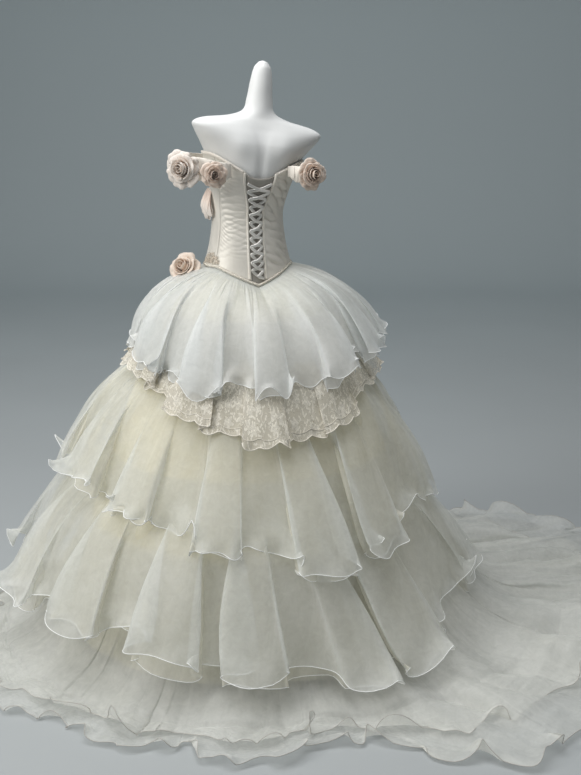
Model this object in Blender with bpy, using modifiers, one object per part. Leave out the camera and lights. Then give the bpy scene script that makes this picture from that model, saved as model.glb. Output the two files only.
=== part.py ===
"""A ball gown on a limbless dress form, as separate sewn pieces.

Metres, +Z up. The origin is the centre of the stand's foot, on the floor. The gown's front faces -Y,
the wearer's left is +X, and the train runs out past the wearer's right. An azimuth is measured in
degrees from +X through +Y, so 90 is the centre back and 270 the centre front.
"""

from math import cos, degrees, exp, hypot, pi, radians, sin

import bpy
from mathutils import Vector

for old in list(bpy.data.objects):
    bpy.data.objects.remove(old, do_unlink=True)

# ---- Driving sizes ----------------------------------------------------------------------------
SEAM_GAP = 0.0003  # cloth pieces meet with this gap
CLOTH = 0.0020  # a skirt wall
SATIN = 0.0022  # a bodice wall
EASE = 0.0052  # from the dress form to the inside of the bodice
PANEL_ROWS = 7
ON_PANEL = EASE + SATIN + 0.0007  # trim lies this far out; a facet's corner takes up part of it
WAIST_SEAM = 1.052  # where the bodice meets the skirt at the sides
BASQUE_DROP = 0.048  # how much lower the seam's point is at centre back and front
BASQUE_HALF = 58.0  # degrees from the point to where the seam is level
BASQUE_POWER = 1.3
LEAN_START = 1.20  # above here the figure leans to the wearer's right
LEAN_SLOPE = 0.115
LEAN_FULL = 1.40
WAIST_CLEAR = 0.0006  # the bodice's wall flares, so the skirt starts this far below its inner edge
UNDERSKIRT_CLEAR = 0.0120  # and the underskirt this far below that, clear of the point of the basque
UNDERSKIRT_EASE = 0.0009  # its top ring has fewer columns, so it needs this much more room
FOLD_GROWTH = 1.6  # a flounce's folds deepen towards its hem by this power
SEAM_STAND = 0.004  # a flounce leaves the waist seam straight down for this much
SKIRT_COLUMNS = 60
UNDERSKIRT_COLUMNS = 30
FLOOR_COLUMNS = 72
FOOT_RADIUS = 0.17
FOOT_THICK = 0.012
POLE_RADIUS = 0.0125
FORM_BOTTOM = 0.83
FORM_COLUMNS = 28
NECK_CAP = 0.004  # how far the neck's tip stands above its last section
HIGH_SEAM, LOW_SEAM = 1.30, 1.02  # a panel's width is read at these heights for its top and bottom edges
MEAN_RADIUS = 0.10  # of the bodice, which turns a length along it into degrees

# The dress form's level sections.
BODY = (  # height, half_width, half_depth, squareness, centre_y
    (0.830, 0.120, 0.094, 2.0, 0.000),
    (0.850, 0.145, 0.115, 2.1, 0.000),
    (0.920, 0.155, 0.124, 2.1, 0.000),
    (1.000, 0.134, 0.110, 2.1, 0.000),
    (1.060, 0.114, 0.096, 2.1, 0.000),
    (1.120, 0.099, 0.086, 2.1, 0.000),
    (1.190, 0.092, 0.080, 2.1, 0.000),
    (1.250, 0.101, 0.090, 2.1, -0.003),
    (1.300, 0.114, 0.104, 2.1, -0.007),
    (1.340, 0.128, 0.106, 2.2, -0.006),
    (1.375, 0.150, 0.094, 2.4, 0.004),
    (1.405, 0.171, 0.076, 2.8, 0.012),
    (1.425, 0.178, 0.062, 3.0, 0.014),
    (1.440, 0.150, 0.052, 2.6, 0.014),
    (1.452, 0.085, 0.046, 2.2, 0.013),
    (1.468, 0.046, 0.042, 2.0, 0.012),
    (1.500, 0.036, 0.037, 2.0, 0.010),
    (1.550, 0.030, 0.031, 2.0, 0.009),
    (1.585, 0.023, 0.024, 2.0, 0.008),
    (1.600, 0.012, 0.013, 2.0, 0.008),
)

# The petticoat cone that every tier is sewn to, straight between these levels.
UNDERSKIRT = (  # height, radius, depth_share
    (0.950, 0.205, 0.94),
    (0.800, 0.295, 1.00),
    (0.535, 0.395, 1.00),
    (0.335, 0.462, 1.00),
    (0.030, 0.535, 1.00),
)

# Each tier's hem all round. puff is how far out the cloth stands on its way down, from 0 to 1.
FLOUNCE_1 = (  # azimuth, radius, height, puff
    (13, 0.322, 0.850, 0.82),
    (43, 0.354, 0.795, 0.74),
    (73, 0.362, 0.775, 0.72),
    (103, 0.362, 0.788, 0.68),
    (133, 0.362, 0.838, 0.68),
    (163, 0.372, 0.862, 0.68),
    (193, 0.362, 0.865, 0.68),
    (223, 0.348, 0.850, 0.68),
    (253, 0.342, 0.840, 0.68),
    (283, 0.338, 0.840, 0.68),
    (313, 0.322, 0.840, 0.80),
    (343, 0.309, 0.838, 0.88),
)
LACE_FLOUNCE = (  # azimuth, radius, height, puff
    (13, 0.334, 0.798, 0.60),
    (43, 0.374, 0.732, 0.58),
    (73, 0.414, 0.662, 0.57),
    (103, 0.416, 0.660, 0.57),
    (133, 0.375, 0.750, 0.55),
    (163, 0.362, 0.785, 0.55),
    (193, 0.358, 0.780, 0.55),
    (223, 0.360, 0.770, 0.55),
    (253, 0.362, 0.765, 0.55),
    (283, 0.362, 0.765, 0.55),
    (313, 0.342, 0.786, 0.53),
    (343, 0.322, 0.816, 0.55),
)
FLOUNCE_2 = (  # azimuth, radius, height, puff
    (13, 0.515, 0.525, 0.74),
    (43, 0.524, 0.470, 0.55),
    (73, 0.540, 0.405, 0.51),
    (103, 0.543, 0.365, 0.51),
    (133, 0.522, 0.425, 0.76),
    (163, 0.458, 0.465, 0.84),
    (193, 0.474, 0.470, 0.84),
    (223, 0.495, 0.460, 0.80),
    (253, 0.500, 0.455, 0.78),
    (283, 0.508, 0.460, 0.80),
    (313, 0.514, 0.480, 0.86),
    (343, 0.514, 0.505, 0.90),
)
FLOUNCE_3 = (  # azimuth, radius, height, puff
    (13, 0.672, 0.200, 0.68),
    (43, 0.660, 0.195, 0.64),
    (73, 0.656, 0.145, 0.52),
    (103, 0.664, 0.095, 0.39),
    (133, 0.655, 0.155, 0.42),
    (163, 0.612, 0.200, 0.52),
    (193, 0.605, 0.215, 0.46),
    (223, 0.625, 0.200, 0.50),
    (253, 0.636, 0.185, 0.50),
    (283, 0.640, 0.180, 0.53),
    (313, 0.652, 0.180, 0.60),
    (343, 0.664, 0.200, 0.68),
)
# The lowest tier: where it touches the floor, and how far it lies out along it. It grows into the train.
FLOOR_SKIRT = (  # azimuth, touch, radius
    (343, 0.715, 0.790),
    (8, 0.725, 0.850),
    (26, 0.730, 0.865),
    (42, 0.720, 0.805),
    (53, 0.725, 0.845),
    (63, 0.715, 0.790),
    (73, 0.730, 0.870),
    (87, 0.720, 0.805),
    (98, 0.735, 0.850),
    (106, 0.760, 1.010),
    (116, 0.790, 1.100),
    (126, 0.820, 1.110),
    (138, 0.850, 1.250),
    (154, 0.880, 1.420),
    (169, 0.880, 1.480),
    (184, 0.860, 1.380),
    (198, 0.830, 1.220),
    (212, 0.800, 1.080),
    (230, 0.750, 0.930),
    (253, 0.720, 0.820),
    (283, 0.710, 0.800),
    (313, 0.710, 0.790),
)

# The largest folds: ridges stand out, and a trough is a ridge of negative depth.
FLOUNCE_1_FOLDS = (  # azimuth, width, depth
    (352, 7.0, 0.036),
    (12, 7.0, -0.012),
    (27, 7.5, 0.034),
    (45, 6.5, -0.010),
    (57, 7.0, 0.031),
    (72, 6.0, -0.012),
    (85, 8.0, 0.028),
    (100, 6.0, -0.012),
    (114, 7.5, 0.034),
    (130, 6.0, -0.010),
    (143, 7.5, 0.028),
    (160, 7.0, 0.020),
    (178, 7.0, -0.010),
    (193, 8.0, 0.031),
    (212, 7.0, -0.010),
    (228, 8.0, 0.031),
    (248, 7.0, -0.010),
    (266, 8.0, 0.034),
    (285, 7.0, -0.010),
    (302, 8.0, 0.031),
    (320, 7.0, -0.010),
    (334, 7.0, 0.028),
)
LACE_FOLDS = (  # azimuth, width, depth
    (20, 8.0, 0.014),
    (52, 8.0, 0.014),
    (82, 7.0, 0.019),
    (112, 8.0, 0.014),
    (148, 9.0, 0.012),
    (190, 9.0, 0.014),
    (232, 9.0, 0.014),
    (272, 9.0, 0.014),
    (312, 9.0, 0.014),
)
FLOUNCE_2_FOLDS = (  # azimuth, width, depth
    (347, 7.0, 0.035),
    (2, 6.0, -0.014),
    (15, 6.5, 0.041),
    (29, 6.0, -0.016),
    (41, 7.0, 0.035),
    (55, 6.0, -0.014),
    (67, 7.5, 0.030),
    (80, 5.5, -0.014),
    (93, 7.0, 0.051),
    (107, 5.5, -0.018),
    (119, 6.5, 0.041),
    (132, 5.5, -0.014),
    (145, 6.5, 0.046),
    (163, 7.0, 0.024),
    (181, 7.0, 0.035),
    (199, 7.0, -0.012),
    (216, 8.0, 0.038),
    (236, 7.0, -0.012),
    (254, 8.0, 0.041),
    (274, 7.0, -0.012),
    (292, 8.0, 0.038),
    (311, 7.0, -0.012),
    (328, 7.5, 0.038),
)
FLOUNCE_3_FOLDS = (  # azimuth, width, depth
    (342, 6.5, 0.041),
    (356, 6.0, -0.014),
    (9, 6.5, 0.041),
    (22, 5.5, -0.016),
    (34, 6.5, 0.035),
    (46, 5.5, -0.014),
    (58, 6.5, 0.038),
    (70, 5.5, -0.016),
    (82, 6.5, 0.035),
    (95, 6.0, 0.046),
    (108, 5.5, -0.014),
    (120, 7.0, 0.049),
    (136, 6.0, -0.014),
    (150, 7.0, 0.035),
    (168, 7.0, -0.012),
    (185, 8.0, 0.038),
    (204, 7.0, -0.012),
    (222, 8.0, 0.041),
    (242, 7.0, -0.012),
    (260, 8.0, 0.041),
    (280, 7.0, -0.012),
    (298, 8.0, 0.038),
    (319, 6.5, -0.010),
)
# On the floor a fold is a ridge that runs outwards, this high.
FLOOR_FOLDS = (  # azimuth, width, depth
    (350, 7.0, 0.040),
    (10, 6.5, 0.034),
    (30, 6.5, 0.040),
    (50, 6.0, 0.032),
    (70, 6.0, 0.040),
    (90, 6.0, 0.034),
    (108, 5.5, 0.050),
    (123, 5.5, 0.062),
    (138, 5.5, 0.074),
    (153, 5.5, 0.070),
    (168, 5.5, 0.078),
    (183, 5.5, 0.074),
    (198, 5.5, 0.080),
    (213, 6.0, 0.070),
    (231, 7.0, 0.046),
    (254, 7.0, 0.036),
    (278, 7.0, 0.036),
    (302, 7.0, 0.036),
    (326, 7.0, 0.036),
)

FORM_WHITE = (0.86, 0.86, 0.85)
SATIN_IVORY = (0.84, 0.78, 0.68)
ORGANZA_IVORY = (0.86, 0.85, 0.78)
LACE_BEIGE = (0.78, 0.68, 0.54)
PETAL_PINK = (0.85, 0.66, 0.56)
CORD_IVORY = (0.88, 0.84, 0.76)
METAL_GREY = (0.62, 0.62, 0.62)

collection = bpy.data.collections.new("quinceanera_dress")
bpy.context.scene.collection.children.link(collection)


# ---- Helpers ----------------------------------------------------------------------------------
def finish(name, colour, roughness, metallic=0.0):
    """A Principled material of one plain colour."""
    material = bpy.data.materials.new(name)
    material.use_nodes = True
    shader = material.node_tree.nodes["Principled BSDF"]
    shader.inputs["Base Color"].default_value = (*colour, 1.0)
    shader.inputs["Roughness"].default_value = roughness
    shader.inputs["Metallic"].default_value = metallic
    return material


def add_object(name, data, material):
    """An object of this name in the gown's collection."""
    made = bpy.data.objects.new(name, data)
    made.data.materials.append(material)
    collection.objects.link(made)
    return made


def from_faces(name, points, faces, material):
    """A mesh object through these points."""
    mesh = bpy.data.meshes.new(name)
    mesh.from_pydata([tuple(p) for p in points], [], faces)
    mesh.validate()
    mesh.shade_smooth()
    return add_object(name, mesh, material)


def thicken(made, thickness):
    """Gives a sheet its wall on the side that its faces point to."""
    wall = made.modifiers.new("wall", "SOLIDIFY")
    wall.thickness = thickness
    wall.offset = 1.0
    wall.use_even_offset = False
    return made


def sheet(name, grid, material, thickness, ring=False):
    """A cloth wall through grid[row][column]; rows run down and columns run from right to left."""
    columns = len(grid[0])
    points = [p for row in grid for p in row]
    faces = []
    for r in range(len(grid) - 1):
        for c in range(columns if ring else columns - 1):
            upper, lower, beside = r * columns, (r + 1) * columns, (c + 1) % columns
            faces.append((lower + c, lower + beside, upper + beside, upper + c))
    return thicken(from_faces(name, points, faces, material), thickness)


def between(rows, at):
    """The values of a table whose first column rises or falls, read at this place, smoothly."""
    rising = rows if rows[0][0] < rows[-1][0] else rows[::-1]
    at = min(max(at, rising[0][0]), rising[-1][0])
    for k in range(len(rising) - 1):
        low, high = rising[k], rising[k + 1]
        if at <= high[0]:
            break
    before = rising[max(k - 1, 0)]
    after = rising[min(k + 2, len(rising) - 1)]
    return curve_values(before, low, high, after, at)


def curve_values(before, low, high, after, at):
    """A smooth curve through four table rows, read between the middle two."""
    span = high[0] - low[0]
    t = (at - low[0]) / span
    values = []
    for i in range(1, len(low)):
        start = (high[i] - before[i]) / max(high[0] - before[0], 1e-9) * span
        end = (after[i] - low[i]) / max(after[0] - low[0], 1e-9) * span
        values.append(
            low[i] * (2 * t**3 - 3 * t**2 + 1)
            + start * (t**3 - 2 * t**2 + t)
            + high[i] * (3 * t**2 - 2 * t**3)
            + end * (t**3 - t**2)
        )
    return values


def around(rows, azimuth):
    """The values of a table that runs once round the gown, read at this azimuth, smoothly."""
    ordered = sorted(rows)
    turns = [
        (row[0] + turn, *row[1:]) for turn in (-360, 0, 360) for row in ordered
    ]
    azimuth %= 360
    k = max(i for i in range(len(turns)) if turns[i][0] <= azimuth)
    return curve_values(*turns[k - 1 : k + 3], azimuth)


def apart(azimuth, other):
    """The smallest angle between two azimuths."""
    return abs((azimuth - other + 180) % 360 - 180)


def folds(rows, azimuth):
    """How far the folds of a table stand out at this azimuth."""
    return sum(
        depth * exp(-((apart(azimuth, place) / width) ** 2))
        for place, width, depth in rows
    )


def columns_of(count):
    """Evenly spaced azimuths, once round."""
    return [360.0 * c / count for c in range(count)]


def smooth(value):
    """0 up to 0, 1 from 1, with a soft start and end."""
    value = min(max(value, 0.0), 1.0)
    return value * value * (3 - 2 * value)


def lean(point):
    """Tips what is above the waist towards the wearer's right."""
    x, y, z = point
    share = smooth((z - LEAN_START) / (LEAN_FULL - LEAN_START))
    return Vector((x - LEAN_SLOPE * max(z - LEAN_START, 0.0), y, z + LEAN_SLOPE * x * share))


def body_point(azimuth, height, out=0.0):
    """A point on the dress form's surface at this azimuth, moved out level by this much."""
    half_width, half_depth, squareness, centre_y = between(BODY, height)
    turn = radians(azimuth)
    power = 2.0 / squareness
    x = abs(cos(turn)) ** power * (1 if cos(turn) >= 0 else -1)
    y = abs(sin(turn)) ** power * (1 if sin(turn) >= 0 else -1)
    return lean((x * (half_width + out), centre_y + y * (half_depth + out), height))


def waist_edge(azimuth):
    """The height of the bodice's lower edge: level at the sides, a point at centre back and front."""
    from_point = min(apart(azimuth, 90), apart(azimuth, 270))
    return WAIST_SEAM - BASQUE_DROP * max(0.0, 1 - from_point / BASQUE_HALF) ** BASQUE_POWER


NECKLINE = (  # azimuth, height
    (0, 1.352),
    (30, 1.348),
    (60, 1.322),
    (78, 1.302),
    (90, 1.298),
    (102, 1.302),
    (120, 1.322),
    (150, 1.348),
    (180, 1.352),
    (210, 1.352),
    (240, 1.362),
    (258, 1.352),
    (270, 1.340),
    (282, 1.352),
    (300, 1.362),
    (330, 1.352),
)


def neckline(azimuth):
    """The height of the bodice's upper edge."""
    return around(NECKLINE, azimuth)[0]


# ---- Dress form and stand ---------------------------------------------------------------------
def make_form():
    """A smooth torso with a plain neck cap, lofted through its level sections."""
    columns = FORM_COLUMNS
    heights = [row[0] for row in BODY]
    points = [Vector((0, 0, FORM_BOTTOM))]
    for height in heights:
        points += [body_point(a, height) for a in columns_of(columns)]
    top = lean((0, BODY[-1][4], BODY[-1][0] + NECK_CAP))
    points.append(top)
    faces = []
    for c in range(columns):
        beside = (c + 1) % columns
        faces.append((0, 1 + beside, 1 + c))
        last = 1 + (len(heights) - 1) * columns
        faces.append((last + c, last + beside, len(points) - 1))
        for r in range(len(heights) - 1):
            lower, upper = 1 + r * columns, 1 + (r + 1) * columns
            faces.append((lower + c, lower + beside, upper + beside, upper + c))
    return from_faces("dress_form", points, faces, finish("form_white", FORM_WHITE, 0.45))


def turned(name, profile, material, steps=40):
    """A turned solid from (radius, height) corners that run down its outer side."""
    mesh = bpy.data.meshes.new(name)
    edges = [(k, k + 1) for k in range(len(profile) - 1)]
    mesh.from_pydata([(r, 0, z) for r, z in profile], edges, [])
    made = add_object(name, mesh, material)
    spin = made.modifiers.new("turn", "SCREW")
    spin.steps = spin.render_steps = steps
    spin.use_merge_vertices = True
    spin.merge_threshold = 0.0001
    return made


def make_stand():
    """The round foot and the pole under the form."""
    metal = finish("stand_metal", METAL_GREY, 0.35, 0.8)
    rim = 0.004
    turned(
        "stand_foot",
        (
            (0, FOOT_THICK),
            (FOOT_RADIUS - rim, FOOT_THICK),
            (FOOT_RADIUS, FOOT_THICK - rim),
            (FOOT_RADIUS, 0),
            (0, 0),
        ),
        metal,
    )
    low, high = FOOT_THICK + SEAM_GAP, FORM_BOTTOM - SEAM_GAP
    turned(
        "stand_pole",
        ((0, high), (POLE_RADIUS, high), (POLE_RADIUS, low), (0, low)),
        metal,
        24,
    )


# ---- Bodice -----------------------------------------------------------------------------------
LACING_TOP = 0.036  # half the lacing gap's width at the neckline
LACING_BOTTOM = 0.016
LACING_LOW = 1.20  # below here the gap keeps its lower width
PLACKET = 0.0015  # the wall of the modesty panel behind the lacing
PLACKET_SUNK = 0.0012  # it lies this much closer to the form than the panels beside it
PLACKET_INSET = 0.0006
PLACKET_DROP = 0.004


def lacing_half(height):
    """Half the width of the gap that the lacing closes."""
    share = smooth((height - LACING_LOW) / (HIGH_SEAM - LACING_LOW))
    return LACING_BOTTOM + (LACING_TOP - LACING_BOTTOM) * share


def lacing_azimuth(height, side, inset=0.0):
    """The azimuth of the lacing gap's edge; side is 1 on the wearer's left and -1 on the right."""
    half_width, half_depth, _, _ = between(BODY, height)
    return 90 - side * 90 * 2 / pi * (lacing_half(height) - inset) / half_width


def left_lacing(height, inset=0.0):
    return lacing_azimuth(height, 1, inset)


def right_lacing(height, inset=0.0):
    return lacing_azimuth(height, -1, inset)


def on_facet(row_point, share):
    """A point on the flat facet between two of a panel's rows; share runs from its top to its bottom."""
    place = min(max(share, 0.0), 0.9999) * PANEL_ROWS
    return row_point(int(place)).lerp(row_point(int(place) + 1), place % 1)


def panel_point(azimuth, share, out):
    """A point over a bodice panel at this azimuth, on its facets moved out."""
    high, low = neckline(azimuth), waist_edge(azimuth)
    return on_facet(
        lambda row: body_point(azimuth, high + (low - high) * row / PANEL_ROWS, out), share
    )


def at_height(edge, height):
    """A panel edge's azimuth at this height: the edge is an azimuth, or a function of height."""
    return edge(height) if callable(edge) else edge


def panel(name, right, left, material, step=6.0, out=EASE, thick=SATIN, top=neckline):
    """A bodice panel between two edges, from the neckline to the waist seam."""

    def across(height, share):
        start = at_height(right, height)
        return start + (at_height(left, height) - start) * share

    wide = across(WAIST_SEAM, 1) - across(WAIST_SEAM, 0)
    count = max(2, 2 * round(wide / step / 2))
    grid = []
    for r in range(PANEL_ROWS + 1):
        row = []
        for c in range(count + 1):
            share = c / count
            high, low = top(across(HIGH_SEAM, share)), waist_edge(across(LOW_SEAM, share))
            height = high + (low - high) * r / PANEL_ROWS
            row.append(body_point(across(height, share), height, out))
        grid.append(row)
    return sheet(name, grid, material, thick)


def seam(azimuth, side):
    """A seam's azimuth on one side of its gap."""
    return azimuth + side * degrees(0.5 * SEAM_GAP / MEAN_RADIUS)


def make_bodice():
    """Seven panels between princess and side seams, and the placket behind the lacing."""
    satin = finish("bodice_satin", SATIN_IVORY, 0.42)
    seams = {"front": 25, "side_front": 62, "side_back": 118}
    centre_front = 270
    panel(
        "bodice_front",
        seam(centre_front - seams["front"], 1),
        seam(centre_front + seams["front"], -1),
        satin,
    )
    for side, word in ((1, "left"), (-1, "right")):
        near, middle, far = (centre_front + side * seams[k] for k in seams)
        for name, a, b in (("side_front", near, middle), ("side", middle, far)):
            right, left = sorted((a, b))
            panel(f"bodice_{name}_{word}", seam(right, 1), seam(left, -1), satin)
        back_seam = far % 360
        if side > 0:
            panel("bodice_back_left", seam(back_seam, 1), left_lacing, satin)
        else:
            panel("bodice_back_right", right_lacing, seam(back_seam, -1), satin)
    panel(
        "back_placket",
        lambda height: left_lacing(height, PLACKET_INSET),
        lambda height: right_lacing(height, PLACKET_INSET),
        finish("placket_satin", SATIN_IVORY, 0.5),
        step=9,
        out=EASE - PLACKET_SUNK,
        thick=PLACKET,
        top=lambda azimuth: neckline(azimuth) - PLACKET_DROP,
    )


def edge_band(name, azimuths, low, high, thick, material, ring=False):
    """A band between two heights over the bodice's lower edge, or below its top edge if negative."""
    grid = []
    for lift in (high, low):
        row = []
        for a in azimuths:
            tall = neckline(a) - waist_edge(a)
            share = (lift > 0) - lift / tall
            row.append(panel_point(a, share, ON_PANEL))
        grid.append(row)
    return sheet(name, grid, material, thick, ring)


def make_bodice_trim():
    """The bindings at the neckline, the waist and both sides of the lacing."""
    trim = finish("trim_satin", CORD_IVORY, 0.4)
    steps = 46
    beside = 4  # degrees from the lacing gap to the binding's end
    first, last = right_lacing(HIGH_SEAM) + beside, left_lacing(HIGH_SEAM) + 360 - beside
    neck = [first + (last - first) * k / steps for k in range(steps + 1)]
    edge_band("neckline_binding", neck, -0.009, -0.001, 0.0018, trim)
    edge_band("waist_piping", columns_of(60), 0.001, 0.007, 0.002, trim, ring=True)
    for side, word in ((1, "left"), (-1, "right")):
        lacing_edge(f"lacing_edge_{word}", side, trim)


def lacing_edge(name, side, material):
    """The band beside the lacing, on its panel's facets; it ends above the waist piping."""
    high = neckline(lacing_azimuth(HIGH_SEAM, side))
    low = waist_edge(lacing_azimuth(LOW_SEAM, side))
    near, far = degrees(0.0007 / MEAN_RADIUS), degrees(0.0063 / MEAN_RADIUS)
    grid = []
    for r in range(2 * PANEL_ROWS):
        pair = []
        for inward in (near, far):

            def row_point(row, inward=inward):
                height = high + (low - high) * row / PANEL_ROWS
                return body_point(lacing_azimuth(height, side) - side * inward, height, ON_PANEL)

            pair.append(on_facet(row_point, r / (2 * PANEL_ROWS)))
        grid.append(pair[::-1] if side > 0 else pair)
    return sheet(name, grid, material, 0.002)


LACE_ROWS = 12
LACE_DIAMETER = 0.0052
LACE_TOP = 1.280
LACE_END = 0.022  # the last row is this far above the point of the basque
LACE_DIP = 0.28  # each crossing lies this share of a row above the lower row, so the rows nest


def lacing_route():
    """The lace goes down in a zigzag and up again between, over itself at each crossing."""
    top, low = LACE_TOP, waist_edge(90) + LACE_END
    at_edge = EASE + SATIN + LACE_DIAMETER / 2
    at_middle = EASE + LACE_DIAMETER / 2 + 0.0016  # just clear of the placket
    over = LACE_DIAMETER + 0.0006
    inset = LACE_DIAMETER / 2 + 0.0007  # the lace turns this far inside the gap's edge
    route = []
    down = [(k, 1 if k % 2 else -1, 0.0) for k in range(LACE_ROWS + 1)]
    up = [(k, -1 if k % 2 else 1, over) for k in range(LACE_ROWS - 1, -1, -1)]
    for k, side, lift in down + up:
        height = top + (low - top) * k / LACE_ROWS
        if route:
            lower, upper = sorted((height, route[-1][1]))
            route.append((90.0, lower + (upper - lower) * LACE_DIP, at_middle + lift))
        route.append((lacing_azimuth(height, side, inset), height, at_edge + lift * 0.3))
    return [body_point(*stop) for stop in route]


def make_lace():
    """The lace as one round cord."""
    curve = bpy.data.curves.new("lacing_cord", "CURVE")
    curve.dimensions = "3D"
    curve.bevel_depth = LACE_DIAMETER / 2
    curve.bevel_resolution = 1
    curve.render_resolution_u = 0
    curve.use_fill_caps = True
    route = lacing_route()
    spline = curve.splines.new("POLY")
    spline.points.add(len(route) - 1)
    for spot, place in zip(spline.points, route):
        spot.co = (*place, 1.0)
    add_object("lacing_cord", curve, finish("lace_cord", CORD_IVORY, 0.45))


# ---- Sleeves ----------------------------------------------------------------------------------
SLEEVE_PATH = (  # step, x, y, height: from the back neckline round the armhole to the front
    (0, 0.079, 0.0890, 1.304),
    (1, 0.128, 0.112, 1.308),
    (2, 0.180, 0.098, 1.314),
    (3, 0.214, 0.048, 1.312),
    (4, 0.222, -0.012, 1.308),
    (5, 0.202, -0.070, 1.312),
    (6, 0.150, -0.108, 1.318),
    (7, 0.084, -0.1075, 1.322),
)
SLEEVE_STEPS = 14
SLEEVE_MIDDLE = 0.125  # the loop of the left band has its middle this far from the gown's
SLEEVE_BULGE = 0.008
LEFT_BAND, RIGHT_BAND = 0.060, 0.046
RIGHT_REACH = 0.58  # the right armhole is this much of the left one's width
LEFT_TUCK, RIGHT_TUCK = 0.0012, 0.0012  # the bands' back ends sit this much closer to the bodice
SLEEVE_LIFT = 0.10  # the left band is this much higher for each metre out, and the right one lower


def sleeve_place(side, step, tall, drop, bulge):
    """A point of a sleeve band, drop below its top edge, and the level direction that it faces."""
    x, y, height = between(SLEEVE_PATH, step)
    middle = SLEEVE_MIDDLE
    if side < 0:
        inner = SLEEVE_PATH[0][1]
        x, middle = (inner + (value - inner) * RIGHT_REACH for value in (x, middle))
    y -= (LEFT_TUCK if side > 0 else RIGHT_TUCK) * max(0.0, 1 - step)
    away = Vector((x - middle, y, 0)).normalized()
    shift = -LEAN_SLOPE * (height - LEAN_START)
    lifted = height + 0.5 * tall + SLEEVE_LIFT * side * (x - 0.07) - drop
    place = Vector((x, y, lifted)) + away * bulge
    return (
        Vector((shift + side * place.x, place.y, place.z)),
        Vector((side * away.x, away.y, 0)),
    )


def make_sleeve(word, side, tall):
    """An off-the-shoulder band round an empty armhole, from the back neckline to the front."""
    grid = []
    for drop, bulge in ((0.0, 0.0), (0.33, 0.006), (0.67, SLEEVE_BULGE), (1.0, 0.002)):
        row = []
        for k in range(SLEEVE_STEPS + 1):
            gather = 0.0025 * cos(k * pi) * drop
            step = 7 * k / SLEEVE_STEPS
            row.append(sleeve_place(side, step, tall, drop * tall, bulge + gather)[0])
        grid.append(row if side < 0 else row[::-1])
    return sheet(f"sleeve_{word}", grid, finish(f"sleeve_{word}", ORGANZA_IVORY, 0.5), CLOTH)


# ---- Flowers ----------------------------------------------------------------------------------
ROSETTE = (  # turn, radius, height, lobe
    (0, 0.50, 0.00, 0.00),
    (12, 0.98, 0.14, 0.12),
    (12, 0.86, 0.34, 0.10),
    (48, 0.78, 0.56, 0.10),
    (48, 0.56, 0.66, 0.08),
    (84, 0.48, 0.86, 0.08),
    (84, 0.26, 0.94, 0.05),
)


def rosette(name, place, facing, radius, tall, colour, stretch=1.0, petals=5):
    """A fabric flower as stepped rings of petals on a flat back."""
    columns = petals * 3
    points = [Vector((0, 0, 0))]
    for turn, share, height, lobe in ROSETTE:
        for c in range(columns):
            angle = 2 * pi * c / columns
            reach = radius * share * (1 + lobe * cos(petals * (angle - radians(turn))))
            points.append(Vector((reach * cos(angle) * stretch, reach * sin(angle), tall * height)))
    points.append(Vector((0, 0, tall * 0.90)))
    faces = []
    last = 1 + (len(ROSETTE) - 1) * columns
    for c in range(columns):
        beside = (c + 1) % columns
        faces.append((0, 1 + beside, 1 + c))
        faces.append((last + c, last + beside, len(points) - 1))
        for r in range(len(ROSETTE) - 1):
            lower, upper = 1 + r * columns, 1 + (r + 1) * columns
            faces.append((lower + c, lower + beside, upper + beside, upper + c))
    made = from_faces(name, points, faces, finish(name, colour, 0.6))
    made.location = place
    made.rotation_euler = Vector(facing).to_track_quat("Z", "Y").to_euler()
    return made


def body_patch(name, azimuths, shares, material):
    """A flat lace piece that lies on a bodice panel, on its facets moved out."""
    steps = 4
    grid = []
    for k in range(3):
        share = shares[0] + (shares[1] - shares[0]) * k / 2
        grid.append(
            [
                panel_point(azimuths[0] + (azimuths[1] - azimuths[0]) * c / steps, share, ON_PANEL)
                for c in range(steps + 1)
            ]
        )
    return sheet(name, grid, material, 0.0015)


HIP_SEAT = (0.1825, 1.0413)  # radius and height of the waist rosette, on the first flounce


def on_sleeve(side, step, tall, drop, out):
    """A point this far out from a sleeve band, and the way that the band faces there."""
    before, after = (sleeve_place(side, step + k, tall, drop, 0.0)[0] for k in (-0.1, 0.1))
    along = after - before
    facing = Vector((along.y, -along.x, 0)).normalized() * -side
    return sleeve_place(side, step, tall, drop, 0.0)[0] + facing * out, facing


def on_bodice(azimuth, height, out):
    """A point this far out from the form, and the way it faces."""
    return body_point(azimuth, height, out), body_point(azimuth, height, 1) - body_point(azimuth, height)


BAND_CLEAR = (0.0009, 0.0016, 0.0007)  # a flower's flat back clears its curved band by this
PANEL_CLEAR = 0.0026


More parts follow.
